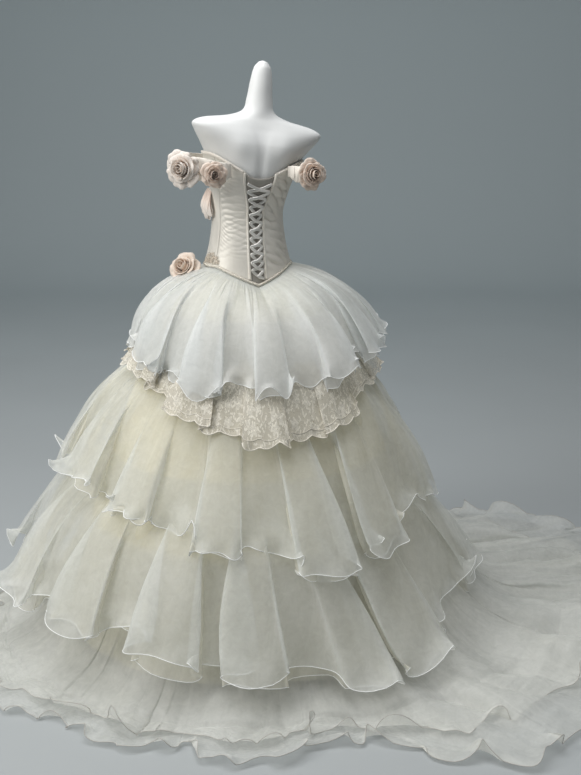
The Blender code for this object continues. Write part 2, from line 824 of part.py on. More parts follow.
def make_flowers():
    """The rosettes on the sleeves and waist, the hanging petals, a small ruffle and a lace motif."""
    outer, back, right = (SLEEVE_BULGE + CLOTH + clear for clear in BAND_CLEAR)
    pale, dusty = (0.88, 0.78, 0.72), (0.80, 0.58, 0.50)
    place, facing = on_sleeve(1, 2.7, LEFT_BAND, 0.033, outer)
    rosette("rosette_left_outer", place, facing, 0.050, 0.044, pale)
    place, facing = on_sleeve(1, 1.15, LEFT_BAND, 0.036, back)
    rosette("rosette_left_back", place, facing, 0.031, 0.030, dusty)
    place, facing = on_sleeve(-1, 1.85, RIGHT_BAND, 0.026, right)
    rosette("rosette_right", place, facing, 0.042, 0.036, dusty)
    place, facing = on_bodice(352, 1.222, EASE + SATIN + PANEL_CLEAR)
    rosette("petals_left", place, facing, 0.046, 0.028, PETAL_PINK, stretch=0.48, petals=4)
    turn = radians(345)
    facing = Vector((cos(turn) * 0.62, sin(turn) * 0.62, 0.78))
    place = Vector((cos(turn) * HIP_SEAT[0], sin(turn) * HIP_SEAT[0], HIP_SEAT[1]))
    rosette("rosette_waist", place, facing, 0.042, 0.034, PETAL_PINK)
    body_patch("waist_lace_motif", (3, 26), (0.84, 0.95), finish("motif_lace", LACE_BEIGE, 0.6))
    ruffle = []
    for drop in (0.0, 0.5, 1.0):
        row = []
        for k in range(7):
            flare = drop * (0.014 + 0.0025 * cos(k * pi))
            row.append(panel_point(112 + 2.5 * k, 0.06 + 0.17 * drop, ON_PANEL + flare))
        ruffle.append(row)
    sheet("sleeve_ruffle_right", ruffle, finish("ruffle", ORGANZA_IVORY, 0.5), CLOTH)


# ---- Skirt tiers ------------------------------------------------------------------------------
def underskirt_point(azimuth, height, out=0.0):
    """A point on the petticoat cone: oval like the waist at the top, round below."""
    for upper, lower in zip(UNDERSKIRT, UNDERSKIRT[1:]):
        if height >= lower[0]:
            break
    share = (upper[0] - height) / (upper[0] - lower[0])
    radius, depth_share = (upper[i] + (lower[i] - upper[i]) * share for i in (1, 2))
    turn = radians(azimuth)
    return Vector(((radius + out) * cos(turn), (radius * depth_share + out) * sin(turn), height))


def on_underskirt(height, clear=SEAM_GAP):
    """A seam round the underskirt's outside at this height."""
    return lambda azimuth: underskirt_point(azimuth, height, CLOTH + clear)


def at_waist(azimuth, ease=EASE):
    """The top of the first flounce, just under the bodice's edge."""
    return body_point(azimuth, waist_edge(azimuth) - WAIST_CLEAR, ease)


def make_underskirt():
    """The petticoat cone, from just under the first flounce's seam down to above the floor."""
    azimuths = columns_of(UNDERSKIRT_COLUMNS)
    drop = Vector((0, 0, SEAM_STAND + UNDERSKIRT_CLEAR))
    grid = [[at_waist(a, EASE + UNDERSKIRT_EASE) - drop for a in azimuths]]
    grid += [[underskirt_point(a, row[0]) for a in azimuths] for row in UNDERSKIRT]
    satin = finish("underskirt_satin", SATIN_IVORY, 0.5)
    return sheet("underskirt", grid, satin, CLOTH, ring=True)


def bend(start, middle, end, t):
    """A quadratic Bezier curve's value."""
    return start * (1 - t) ** 2 + middle * 2 * t * (1 - t) + end * t * t


def tier_point(azimuth, t, top, hem_rows, fold_rows, drop):
    """A point of a flounce: t is 0 at its seam and 1 at its hem."""
    out = Vector((cos(radians(azimuth)), sin(radians(azimuth)), 0))
    start = top(azimuth)
    radius, height, puff = around(hem_rows, azimuth)
    hem = out * radius + Vector((0, 0, height))
    middle = start + (hem - start) * puff
    middle.z = start.z + (height - start.z) * drop
    return bend(start, middle, hem, t) + out * folds(fold_rows, azimuth) * t**FOLD_GROWTH


def make_tier(name, top, hem_rows, fold_rows, drop, rows, columns, material, stand=0.0):
    """A flounce all round the gown, which may leave its seam straight down at first."""
    azimuths = columns_of(columns)
    grid = [[top(a) for a in azimuths]] if stand else []

    def below(azimuth):
        return top(azimuth) - Vector((0, 0, stand))

    for r in range(rows + 1):
        grid.append(
            [tier_point(a, r / rows, below, hem_rows, fold_rows, drop) for a in azimuths]
        )
    return sheet(name, grid, material, CLOTH, ring=True)


FLOOR_TOP = 0.335
FLOOR_FLAT = 0.012  # cloth this little off the floor lies flat on it
FLOOR_STOPS = (  # share, drop, ridge: along the radius, down to the floor, and of the folds' height
    (0.00, 0.00, 0.00),
    (0.26, 0.36, 0.10),
    (0.62, 0.80, 0.45),
    (1.00, 1.00, 0.85),
)
FLOOR_RUN = (  # share, ridge: from where it touches to the hem
    (0.30, 1.00),
    (0.65, 0.80),
    (1.00, 0.30),
)


def make_floor_skirt():
    """The lowest tier, which reaches the floor, lies on it and grows into the train."""
    grid = []
    top = on_underskirt(FLOOR_TOP, 2.5 * SEAM_GAP)
    for share, drop, ridge in FLOOR_STOPS:
        row = []
        for a in columns_of(FLOOR_COLUMNS):
            touch, _ = around(FLOOR_SKIRT, a)
            out = Vector((cos(radians(a)), sin(radians(a)), 0))
            begin = hypot(top(a).x, top(a).y)
            height = FLOOR_TOP * (1 - drop) + folds(FLOOR_FOLDS, a) * ridge * drop
            row.append(out * (begin + (touch - begin) * share) + Vector((0, 0, height)))
        grid.append(row)
    for share, ridge in FLOOR_RUN:
        row = []
        for a in columns_of(FLOOR_COLUMNS):
            touch, radius = around(FLOOR_SKIRT, a)
            out = Vector((cos(radians(a)), sin(radians(a)), 0))
            raised = max(0.0, folds(FLOOR_FOLDS, a) - FLOOR_FLAT) * ridge
            row.append(out * (touch + (radius - touch) * share) + Vector((0, 0, raised)))
        grid.append(row)
    organza = finish("train_organza", ORGANZA_IVORY, 0.55)
    return sheet("floor_skirt_train", grid, organza, CLOTH, ring=True)


def make_skirt():
    """The petticoat and its five tiers."""
    organza = finish("organza", ORGANZA_IVORY, 0.55)
    beige_lace = finish("beige_lace", LACE_BEIGE, 0.6)
    make_underskirt()
    make_tier(
        "flounce_1", at_waist, FLOUNCE_1, FLOUNCE_1_FOLDS, 0.10, 4, SKIRT_COLUMNS, organza, SEAM_STAND
    )
    lace_top = on_underskirt(0.925, 5 * SEAM_GAP)
    second_top, third_top = on_underskirt(0.800), on_underskirt(0.535)
    make_tier("lace_flounce", lace_top, LACE_FLOUNCE, LACE_FOLDS, 0.42, 3, SKIRT_COLUMNS, beige_lace)
    make_tier("flounce_2", second_top, FLOUNCE_2, FLOUNCE_2_FOLDS, 0.38, 4, SKIRT_COLUMNS, organza)
    make_tier("flounce_3", third_top, FLOUNCE_3, FLOUNCE_3_FOLDS, 0.22, 4, SKIRT_COLUMNS, organza)
    make_floor_skirt()


make_form()
make_stand()
make_bodice()
make_bodice_trim()
make_lace()
make_sleeve("left", 1, LEFT_BAND)
make_sleeve("right", -1, RIGHT_BAND)
make_flowers()
make_skirt()
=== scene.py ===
# %% [markdown]
# A lace-up ball gown on a dress form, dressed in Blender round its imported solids.
#
# The solids give every seam, hem and main fold its place. Each step below makes one finished piece in
# the same metres: the form, the corset, its lacing and flowers, then the tiers of organza from the
# petticoat out to the train. Azimuths are degrees from +X through +Y: 90 is the centre back.

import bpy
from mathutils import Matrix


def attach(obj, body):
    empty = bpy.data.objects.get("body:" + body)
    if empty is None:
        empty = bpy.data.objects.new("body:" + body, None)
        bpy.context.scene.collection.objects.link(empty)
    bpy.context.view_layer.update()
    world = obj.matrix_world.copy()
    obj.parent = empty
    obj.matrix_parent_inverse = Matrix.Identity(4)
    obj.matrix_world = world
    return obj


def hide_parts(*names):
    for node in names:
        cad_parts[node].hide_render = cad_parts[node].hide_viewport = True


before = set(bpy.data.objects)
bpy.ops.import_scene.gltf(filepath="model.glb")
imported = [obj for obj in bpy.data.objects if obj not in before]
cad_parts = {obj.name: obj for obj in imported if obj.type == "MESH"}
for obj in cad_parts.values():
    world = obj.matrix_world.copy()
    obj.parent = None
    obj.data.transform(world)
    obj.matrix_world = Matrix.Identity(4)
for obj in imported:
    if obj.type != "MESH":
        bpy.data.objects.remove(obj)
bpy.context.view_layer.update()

# %% Libraries
from math import cos, pi, radians, sin

import bmesh
import bpy
import numpy as np
from mathutils import Vector

scene = bpy.context.scene
ROOT = "root"

# %% [markdown]
# The camera stands at eye height behind the gown, a little to the wearer's left, and looks down on the
# skirt. A pinhole with no shift keeps upright lines leaning in at the foot, as a real lens does.

# %% Camera
CAMERA_SPOT = Vector((0.819, 3.094, 1.5))
AHEAD = Vector((-0.292, -0.956, 0.0)).normalized()
ASIDE = Vector((AHEAD.y, -AHEAD.x, 0.0))
CAMERA_DIP = 14.2
camera = bpy.data.objects.new("camera", bpy.data.cameras.new("camera"))
scene.collection.objects.link(camera)
camera.location = CAMERA_SPOT
look = AHEAD * cos(radians(CAMERA_DIP)) - Vector((0, 0, sin(radians(CAMERA_DIP))))
camera.rotation_euler = look.to_track_quat("-Z", "Y").to_euler()
camera.data.sensor_width = 36.0
camera.data.lens = 52.77
camera.data.clip_end = 60
scene.camera = camera
print("camera looks along", [round(v, 3) for v in look])

# %% [markdown]
# Cloth in this file is an array of points, rows by columns, that becomes a mesh in one call. Making
# the points with numpy keeps large sheets quick, and one helper gives every piece its UV map in metres
# of cloth, so that a weave or a lace pattern keeps its real size.


# %% Helpers for sheets of points
def link(name, mesh, material):
    made = bpy.data.objects.new(name, mesh)
    mesh.materials.clear()
    mesh.materials.append(material)
    scene.collection.objects.link(made)
    return made


def cloth_lengths(points, ring):
    """Distance along the columns at the widest row, and down the rows, both as UV coordinates."""
    if ring:
        points = np.concatenate([points, points[:, :1]], axis=1)
    across = np.linalg.norm(np.diff(points, axis=1), axis=2)
    down = np.linalg.norm(np.diff(points, axis=0), axis=2).mean(1)
    u, v = (np.concatenate([[0], np.cumsum(steps)]) for steps in (across[across.sum(1).argmax()], down))
    return np.stack(np.meshgrid(u, v), axis=2)


def sheet(name, grids, material, ring=False, flip=False, span=None):
    """A mesh through points[row, column], or through a list of such grids.

    A ring's last column joins its first. A span is the size in UV that every grid is drawn out to.
    """
    faces, spots, first = [], [], 0
    grids = grids if isinstance(grids, list) else [grids]
    for points in grids:
        rows, columns = points.shape[:2]
        r, c = np.meshgrid(np.arange(rows - 1), np.arange(columns if ring else columns - 1), indexing="ij")
        places = [(r + 1, c), (r + 1, c + 1), (r, c + 1), (r, c)]
        if flip:
            places.reverse()
        faces.append(np.stack([(first + i * columns + j % columns).ravel() for i, j in places], axis=1))
        if span:
            uv = np.stack(np.meshgrid(np.linspace(0, span, columns), np.linspace(0, span, rows)), axis=2)
        else:
            uv = cloth_lengths(points, ring)
        spots.append(np.stack([uv[i.ravel(), j.ravel()] for i, j in places], axis=1))
        first += rows * columns
    faces, spots = np.concatenate(faces), np.concatenate(spots)
    points = np.concatenate([points.reshape(-1, 3) for points in grids])
    mesh = bpy.data.meshes.new(name)
    mesh.vertices.add(len(points))
    mesh.vertices.foreach_set("co", points.astype(np.float32).ravel())
    mesh.loops.add(faces.size)
    mesh.loops.foreach_set("vertex_index", faces.astype(np.int32).ravel())
    mesh.polygons.add(len(faces))
    mesh.polygons.foreach_set("loop_start", np.arange(0, faces.size, 4, dtype=np.int32))
    mesh.update(calc_edges=True)
    mesh.uv_layers.new(name="cloth").data.foreach_set("uv", spots.astype(np.float32).ravel())
    mesh.shade_smooth()
    mesh.validate()
    return link(name, mesh, material)


def applied(piece):
    """The piece with its modifiers worked into its mesh."""
    seen = piece.evaluated_get(bpy.context.evaluated_depsgraph_get())
    old, mesh = piece.data, bpy.data.meshes.new_from_object(seen)
    piece.modifiers.clear()
    piece.data = mesh
    bpy.data.meshes.remove(old)
    return piece


def thick(piece, depth, outward=False):
    """Gives a sheet a closed wall, inwards unless told otherwise."""
    wall = piece.modifiers.new("wall", "SOLIDIFY")
    wall.thickness = depth
    wall.offset = 1.0 if outward else -1.0
    return applied(piece)


def reshaped(piece, change):
    """Runs a change on the piece's faces and edges, then turns its faces outwards."""
    mesh = bmesh.new()
    mesh.from_mesh(piece.data)
    change(mesh)
    bmesh.ops.recalc_face_normals(mesh, faces=mesh.faces)
    mesh.to_mesh(piece.data)
    mesh.free()
    return piece


def area_of(piece):
    return sum(p.area for p in piece.data.polygons)


def cut(piece, length, sides=1, digits=2):
    """States the flat strip a piece is cut from: its area, shared out over its length."""
    width = round(area_of(piece) / sides / length, digits)
    print(piece.name, "is cut", width, "x", length, "m")


def settle(piece, slot, *nodes):
    """A finished piece rides with the gown and stands for its solids; its slot is not used."""
    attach(piece, ROOT)
    if nodes:
        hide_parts(*nodes)
    print(piece.name, len(piece.data.polygons), "faces")
    return piece


# %% [markdown]
# A table of a few rows is the plainest way to hold a shape: a smooth curve is read through its rows.
# Around the gown, the table runs on past 360 degrees into its own start.


# %% Helpers for tables and waves
def bent(t, low, start, high, end):
    """A curve from low to high with these slopes at its ends, for t from 0 to 1."""
    return (
        low * (2 * t**3 - 3 * t**2 + 1) + start * (t**3 - 2 * t**2 + t)
        + high * (3 * t**2 - 2 * t**3) + end * (t**3 - t**2)
    )


def curve_values(before, low, high, after, at):
    """The values of four neighbouring rows, read between the middle two."""
    before, low, high, after = np.array([before, low, high, after], float)
    span = high[0] - low[0]
    start = (high - before) / max(high[0] - before[0], 1e-9) * span
    end = (after - low) / max(after[0] - low[0], 1e-9) * span
    return bent((at - low[0]) / span, low, start, high, end)[1:]


def between(rows, at):
    """The values of a rising table at one place."""
    at = min(max(at, rows[0][0]), rows[-1][0])
    k = next(k for k in range(len(rows) - 1) if at <= rows[k + 1][0])
    return curve_values(rows[max(k - 1, 0)], rows[k], rows[k + 1], rows[min(k + 2, len(rows) - 1)], at)


def all_around(rows, azimuths):
    """The table read at many azimuths: one array per column."""
    turns = [(row[0] + turn, *row[1:]) for turn in (-360, 0, 360) for row in sorted(rows)]
    read = []
    for azimuth in np.ravel(azimuths) % 360:
        k = max(i for i in range(len(turns)) if turns[i][0] <= azimuth)
        read.append(curve_values(*turns[k - 1 : k + 3], azimuth))
    return np.array(read).T


def turned(a, b):
    """Degrees from b to a, from -180 to 180."""
    return (a - b + 180) % 360 - 180


def smooth(value):
    value = np.clip(value, 0.0, 1.0)
    return value * value * (3 - 2 * value)


def bell(value, power=2):
    return np.exp(-np.abs(value) ** power)


def waves(a, t, low, high, count, seed, drift=3.0):
    """A sum of waves that closes on itself once round; its size is about 1."""
    rng = np.random.default_rng(seed)
    total = 0.0
    for _ in range(count):
        n = rng.integers(low, high + 1)
        phase, slide = rng.uniform(0, 2 * pi), rng.uniform(-drift, drift)
        total = total + np.sin(n * np.radians(a) + phase + slide * t)
    return total / np.sqrt(count / 2)


def grid(rows, columns, down=(0, 1), along=(0, 1)):
    """A column of values that run down the rows, and a row of values along the columns."""
    return np.linspace(*down, rows)[:, None], np.linspace(*along, columns)[None, :]


def polar(turn, radius, height):
    """Points at a turn in radians, a radius and a height."""
    turn, radius, height = np.broadcast_arrays(turn, radius, height)
    return np.stack([radius * np.cos(turn), radius * np.sin(turn), height], axis=-1)


def out_of(azimuth):
    """The level way outwards at an azimuth; a quarter turn more gives the way along a hem."""
    return polar(np.radians(azimuth), 1.0, 0.0)


print("helpers ready")

# %% [markdown]
# Shader maths reads best as plain sums. A small class wraps a socket, so that `1 - mask` adds its own
# Math node, and one method makes every other kind of node from its settings and its inputs.


# %% A socket that takes part in sums
class Strand:
    """A shader socket with Python's operators; colours and vectors go through make()."""

    def __init__(self, finish, socket):
        self.finish, self.socket = finish, socket

    def math(self, operation, *others, clamp=False):
        settings = {"operation": operation, "use_clamp": clamp}
        return self.finish.make("ShaderNodeMath", settings, dict(enumerate((self, *others))))

    def __add__(self, other):
        return self.math("ADD", other)

    def __sub__(self, other):
        return self.math("SUBTRACT", other)

    def __rsub__(self, other):
        return (self * -1.0).math("ADD", other)

    def __mul__(self, other):
        return self.math("MULTIPLY", other)

    def __truediv__(self, other):
        return self.math("DIVIDE", other)

    def most(self, *others):
        """The largest of several masks."""
        strand = self
        for other in others:
            strand = strand.math("MAXIMUM", other)
        return strand

    def between(self, low, high):
        """0 at low and 1 at high, with soft ends."""
        settings = {"interpolation_type": "SMOOTHSTEP"}
        return self.finish.make("ShaderNodeMapRange", settings, {"Value": self, 1: low, 2: high})

    def clipped(self):
        return self.math("ADD", 0.0, clamp=True)

    def second(self):
        """The second output of the node that this one comes from."""
        return Strand(self.finish, self.socket.node.outputs[1])


class Finish:
    """One material and its nodes."""

    def __init__(self, name):
        self.material = bpy.data.materials.new(name)
        self.material.use_nodes = True
        self.tree = self.material.node_tree
        self.tree.nodes.clear()
        self.ends = self.tree.nodes.new("ShaderNodeOutputMaterial")

    def make(self, kind, settings=None, inputs=None, output=0):
        node = self.tree.nodes.new(kind)
        for key, value in (settings or {}).items():
            setattr(node, key, value)
        for key, value in (inputs or {}).items():
            if isinstance(value, Strand):
                self.tree.links.new(value.socket, node.inputs[key])
            else:
                node.inputs[key].default_value = value
        return Strand(self, node.outputs[output])

    def end(self, shader):
        self.tree.links.new(shader.socket, self.ends.inputs["Surface"])
        return self.material

    def place(self):
        return self.make("ShaderNodeTexCoord", output=3)

    def flat(self):
        """The place on the flat cloth, in metres."""
        return self.make("ShaderNodeTexCoord", output=2)

    def split(self, vector):
        """X and Y of a vector."""
        x = self.make("ShaderNodeSeparateXYZ", inputs={0: vector})
        return x, x.second()

    def noise(self, scale, detail=3.0, rough=0.55, at=None, warp=0.0):
        inputs = {"Vector": at or self.place(), "Scale": scale, "Detail": detail}
        inputs |= {"Roughness": rough, "Distortion": warp}
        return self.make("ShaderNodeTexNoise", inputs=inputs)

    def tint(self, factor, low, high):
        return self.make("ShaderNodeMix", {"data_type": "RGBA"}, {0: factor, 6: (*low, 1), 7: (*high, 1)}, 2)

    def bump(self, height, strength, distance, under=None):
        inputs = {"Height": height, "Strength": strength, "Distance": distance}
        if under:
            inputs["Normal"] = under
        return self.make("ShaderNodeBump", inputs=inputs)

    def principled(self, colour, roughness, normal=None, **constants):
        inputs = {"Base Color": colour, "Roughness": roughness}
        inputs |= {key.replace("_", " "): value for key, value in constants.items()}
        if normal:
            inputs["Normal"] = normal
        return self.make("ShaderNodeBsdfPrincipled", inputs=inputs)

    def mixed(self, factor, first, second):
        return self.make("ShaderNodeMixShader", inputs={0: factor, 1: first, 2: second})

    def glow(self, colour, normal):
        return self.make("ShaderNodeBsdfTranslucent", inputs={"Color": colour, "Normal": normal})

    def clear(self):
        return self.make("ShaderNodeBsdfTransparent")


print("shader helpers ready")

# %% [markdown]
# Organza is a stiff, sheer plain weave. Light goes three ways in it: some passes between the threads,
# some glows through them, and some comes back with a faint sheen. A Mix Shader for each split keeps
# the three apart, so a single layer stays see-through while five layers turn milky. Where the cloth is
# bunched, more threads stand in the light's way: the gather attribute counts the layers, and the open
# share of one layer is raised to its power.


# %% Organza
GLOW, THREADS, CREASES = 0.40, 5200.0, 0.0040


def organza(name, thin, dense, cover):
    finish = Finish(name)
    u, v = finish.split(finish.flat())
    along = finish.make("ShaderNodeCombineXYZ", inputs={0: u * 17.0, 1: v * 6.0})
    drawn = finish.noise(1.0, 3.0, 0.5, at=along, warp=0.9)
    crush = finish.noise(46.0, 5.0, 0.62, warp=0.6)
    cloud = finish.noise(5.0, 4.0)
    colour = finish.tint((cloud * 0.7 + crush * 0.3).between(0.34, 0.66), thin, dense)
    threads = (u * THREADS).math("SINE") * (v * THREADS).math("SINE")
    normal = finish.bump(drawn * 0.8 + crush * 0.42 + threads * 0.02, 0.5, CREASES)
    body = finish.principled(colour, 0.50, normal, Sheen_Weight=0.22, Specular_IOR_Level=0.35)
    cloth = finish.mixed(GLOW, body, finish.glow(colour, normal))
    layers = finish.make("ShaderNodeAttribute", {"attribute_name": "gather"}, output=2)
    one_layer = drawn.between(0.25, 0.75) * 0.10 + (crush - 0.5) * 0.22 + (cover - 0.05)
    share = 1.0 - (1.0 - one_layer).clipped().math("POWER", layers)
    return finish.end(finish.mixed(share, finish.clear(), cloth))


organza_outer = organza("organza_outer", (0.87, 0.89, 0.88), (0.93, 0.94, 0.93), 0.56)
organza_low = organza("organza_low", (0.87, 0.88, 0.84), (0.92, 0.93, 0.90), 0.42)
organza_under = organza("organza_under", (0.88, 0.86, 0.76), (0.92, 0.90, 0.81), 0.42)
train_organza = organza("train_organza", (0.88, 0.88, 0.83), (0.93, 0.93, 0.89), 0.50)
print("organza finishes ready, from", organza_outer.name, "to", train_organza.name)

# %% [markdown]
# Satin has long floats of yarn on its face, which give a broad soft highlight. A low roughness would
# look like plastic, so the roughness drifts with a noise, a coat is left out, and a fine diagonal
# ripple in the bump stands for the twill of the floats.


# %% Satin
FLOATS, PUCKER, GRAIN = 3900.0, 0.0022, 0.0002


def satin(name, low, high, roughness=0.40, sheen=0.35, relief=0.35, gleam=0.0):
    finish = Finish(name)
    u, v = finish.split(finish.flat())
    cloud = finish.noise(7.0, 4.0)
    colour = finish.tint(cloud.between(0.3, 0.7), low, high)
    floats = ((u + v * 0.35) * FLOATS).math("SINE") + finish.noise(420.0, 2.0)
    pucker = finish.noise(34.0, 3.0, warp=0.8)
    normal = finish.bump(pucker, relief, PUCKER, finish.bump(floats, 0.12, GRAIN))
    return finish.end(finish.principled(
        colour, cloud * 0.16 + (roughness - 0.08), normal, Sheen_Weight=sheen, Metallic=gleam,
        Sheen_Roughness=0.35, Specular_IOR_Level=0.4,
    ))


bodice_satin = satin("bodice_satin", (0.75, 0.715, 0.645), (0.82, 0.785, 0.715), 0.50, 0.2, 0.45, 0.20)
# painted shade: the placket's dark grey-brown stands in for the shade in the gaps between the lacing's rows
placket_satin = satin("placket_satin", (0.30, 0.28, 0.25), (0.40, 0.38, 0.34), 0.45)
trim_satin = satin("trim_satin", (0.80, 0.75, 0.66), (0.88, 0.84, 0.76), 0.38)
underskirt_satin = satin("underskirt_satin", (0.84, 0.76, 0.50), (0.88, 0.81, 0.58), 0.5, 0.3)
sleeve_cloth = satin("sleeve_cloth", (0.80, 0.74, 0.66), (0.86, 0.81, 0.74), 0.5)
lace_cord = satin("lace_cord", (0.74, 0.72, 0.68), (0.90, 0.88, 0.84), 0.30, 0.1, 0.5, 0.55)
hem_organza = satin("hem_organza", (0.90, 0.91, 0.90), (0.95, 0.96, 0.95), 0.5, 0.1, 0.2)
wire_organza = satin("wire_organza", (0.42, 0.40, 0.365), (0.56, 0.54, 0.50), 0.5, 0.1, 0.2)
print("satin finishes ready")

# %% [markdown]
# The form is smooth painted fibreglass and its stand is brushed steel. Neither is ever perfectly even:
# a faint mottling in the roughness and a very shallow orange-peel bump stop the paint looking like
# plain clay, and the steel gets a fine grain in its roughness. Beads are small and bright, each in its
# own tone of old gold.


# %% Form paint, stand steel and beads
def paint(name, low, high):
    finish = Finish(name)
    cloud = finish.noise(5.0, 5.0)
    normal = finish.bump(finish.noise(240.0, 2.0), 0.08, 0.0006)
    colour = finish.tint(cloud.between(0.3, 0.7), low, high)
    return finish.end(finish.principled(colour, cloud * 0.2 + 0.42, normal))


def steel(name, low, high):
    finish = Finish(name)
    smudge = finish.noise(14.0, 4.0)
    colour = finish.tint(smudge.between(0.3, 0.75), low, high)
    rough = smudge * 0.25 + finish.noise(700.0, 2.0) * 0.08 + 0.18
    return finish.end(finish.principled(colour, rough, Metallic=1.0))


def bead(name, low, high):
    finish = Finish(name)
    tone = finish.noise(150.0, 1.0)
    colour = finish.tint(tone.between(0.4, 0.6), low, high)
    return finish.end(finish.principled(colour, tone * 0.3 + 0.12, Metallic=0.6))


form_white = paint("form_white", (0.77, 0.775, 0.765), (0.83, 0.835, 0.825))
stand_metal = steel("stand_metal", (0.50, 0.51, 0.52), (0.66, 0.67, 0.68))
sequin = bead("sequin", (0.62, 0.54, 0.40), (0.86, 0.82, 0.72))

# %% [markdown]
# The roses are cut from crepe and organza. Each petal's UV runs from its base to its edge, so the
# colour can deepen at the heart and pale at the rim.


# %% Petals
PETAL_UV = 0.030


def petal_cloth(name, heart, rim):
    finish = Finish(name)
    _, v = finish.split(finish.flat())
    cloud = finish.noise(60.0, 3.0)
    colour = finish.tint((v * 30.0 + (cloud - 0.5) * 0.5).between(0.1, 0.95), heart, rim)
    normal = finish.bump(cloud, 0.5, 0.002, finish.bump(finish.noise(900.0, 2.0), 0.25, 0.0004))
    body = finish.principled(colour, 0.62, normal, Sheen_Weight=0.5)
    return finish.end(finish.mixed(0.25, body, finish.glow(colour, normal)))


PETALS = {
    "pale_petals": petal_cloth("pale_petals", (0.90, 0.76, 0.66), (0.955, 0.895, 0.835)),
    "dusty_petals": petal_cloth("dusty_petals", (0.62, 0.44, 0.34), (0.93, 0.81, 0.71)),
    "peach_petals": petal_cloth("peach_petals", (0.87, 0.68, 0.54), (0.95, 0.845, 0.745)),
}
print("petal finishes ready:", *PETALS)

# %% [markdown]
# Corded lace is three things on one net: flowers and leaves of close stitches, stems that wander
# between them, and the open mesh itself. Each is drawn from the cloth's own metres. A Voronoi cell gives
# a flower its middle, and the angle round that middle gives it its petals, as a rose curve does.


# %% Lace
def lace_cloth(name, net, stitch, cover, size):
    finish = Finish(name)
    flat = finish.flat()
    wobble = finish.noise(30.0, 2.0)

    def motif(scale, lobes, wide, deep, randomness):
        """How far out each place is in its cell's lobed shape, 1 at the rim, and the shape's ribs."""
        inputs = {"Vector": flat, "Scale": scale, "Randomness": randomness}
        cell = finish.make("ShaderNodeTexVoronoi", {"voronoi_dimensions": "2D"}, inputs, 2)
        local = finish.make("ShaderNodeVectorMath", {"operation": "SUBTRACT"}, {0: flat, 1: cell})
        x, y = finish.split(local)
        turn = finish.make("ShaderNodeSeparateColor", inputs={0: cell.second()}) * (2 * pi)
        angle = y.math("ARCTAN2", x) * lobes + turn + wobble * 1.2
        reach = (x * x + y * y).math("SQRT")
        return reach / (angle.math("COSINE") * deep + wide), (angle * 3.0).math("COSINE")

    flower, ribs = motif(1 / size, 5.0, size * 0.27, size * 0.11, 0.75)
    leaf, _ = motif(2.7 / size, 2.0, size * 0.085, size * 0.062, 1.0)
    solid_flower = 1.0 - flower.between(0.92, 1.02)
    ring = flower.between(0.80, 0.86) * solid_flower
    eye = 1.0 - flower.between(0.16, 0.22)
    solid_leaf = 1.0 - leaf.between(0.90, 1.03)
    stems = (finish.noise(1.5 / size, 1.0, at=flat, warp=0.8) - 0.5).math("ABSOLUTE")
    stem = 1.0 - stems.between(0.010, 0.018)
    inside = solid_flower * (ribs * 0.16 + 0.72)
    close = inside.most(ring, solid_leaf * 0.9, stem * 0.85, eye)
    cover_now = close.most(wobble * 0.1 + cover).clipped()
    colour = finish.tint(close, net, stitch)
    normal = finish.bump(close * 0.7 + finish.noise(700.0, 2.0) * 0.3, 0.6, 0.0012)
    body = finish.principled(colour, 0.55, normal, Sheen_Weight=0.3)
    return finish.end(finish.mixed(cover_now, finish.clear(), body))


beige_lace = lace_cloth("beige_lace", (0.66, 0.615, 0.515), (0.775, 0.735, 0.64), 0.62, 0.040)
motif_lace = lace_cloth("motif_lace", (0.60, 0.49, 0.38), (0.76, 0.66, 0.54), -0.1, 0.016)
print("lace ready")

# %% [markdown]
# The form is a limbless torso with a plain neck cap. Its level sections are superellipses whose sizes
# are read from one table, so the gown and the form share their shape exactly. A second pass adds what
# a section table can't say: the groove of the spine and the two shoulder blades.

# %% The form's sections
BODY = (  # height, half_width, half_depth, squareness, centre_y
    (0.830, 0.120, 0.094, 2.0, 0.000),
    (0.850, 0.145, 0.115, 2.1, 0.000),
    (0.920, 0.155, 0.124, 2.1, 0.000),
    (1.000, 0.134, 0.110, 2.1, 0.000),
    (1.060, 0.114, 0.096, 2.1, 0.000),
    (1.120, 0.099, 0.086, 2.1, 0.000),
    (1.190, 0.092, 0.080, 2.1, 0.000),
    (1.250, 0.101, 0.090, 2.1, -0.003),
    (1.300, 0.114, 0.104, 2.1, -0.007),
    (1.340, 0.128, 0.106, 2.2, -0.006),
    (1.375, 0.150, 0.094, 2.4, 0.004),
    (1.405, 0.171, 0.076, 2.8, 0.012),
    (1.425, 0.178, 0.062, 3.0, 0.014),
    (1.440, 0.150, 0.052, 2.6, 0.014),
    (1.452, 0.085, 0.046, 2.2, 0.013),
    (1.468, 0.046, 0.042, 2.0, 0.012),
    (1.500, 0.036, 0.037, 2.0, 0.010),
    (1.550, 0.030, 0.031, 2.0, 0.009),
    (1.585, 0.023, 0.024, 2.0, 0.008),
    (1.600, 0.012, 0.013, 2.0, 0.008),
)
LEAN_START, LEAN_SLOPE, LEAN_FULL = 1.20, 0.115, 1.40


def leaning(height):
    """How far a height's middle is shifted towards the wearer's right."""
    return LEAN_SLOPE * np.maximum(height - LEAN_START, 0.0)


def body(azimuth, height, out=0.0):
    """Points on the form's surface, moved out level; azimuth, height and out are arrays alike."""
    azimuth, height, out = np.broadcast_arrays(azimuth, height, out)
    levels = np.unique(height)
    read = np.array([between(BODY, h) for h in levels])[np.searchsorted(levels, height)]
    half_width, half_depth, squareness, centre_y = np.moveaxis(read, -1, 0)
    turn = np.radians(azimuth)
    power = 2.0 / squareness
    x = np.abs(np.cos(turn)) ** power * np.sign(np.cos(turn)) * (half_width + out)
    y = np.abs(np.sin(turn)) ** power * np.sign(np.sin(turn)) * (half_depth + out) + centre_y
    share = smooth((height - LEAN_START) / (LEAN_FULL - LEAN_START))
    return np.stack([x - leaning(height), y, height + LEAN_SLOPE * x * share], axis=-1)


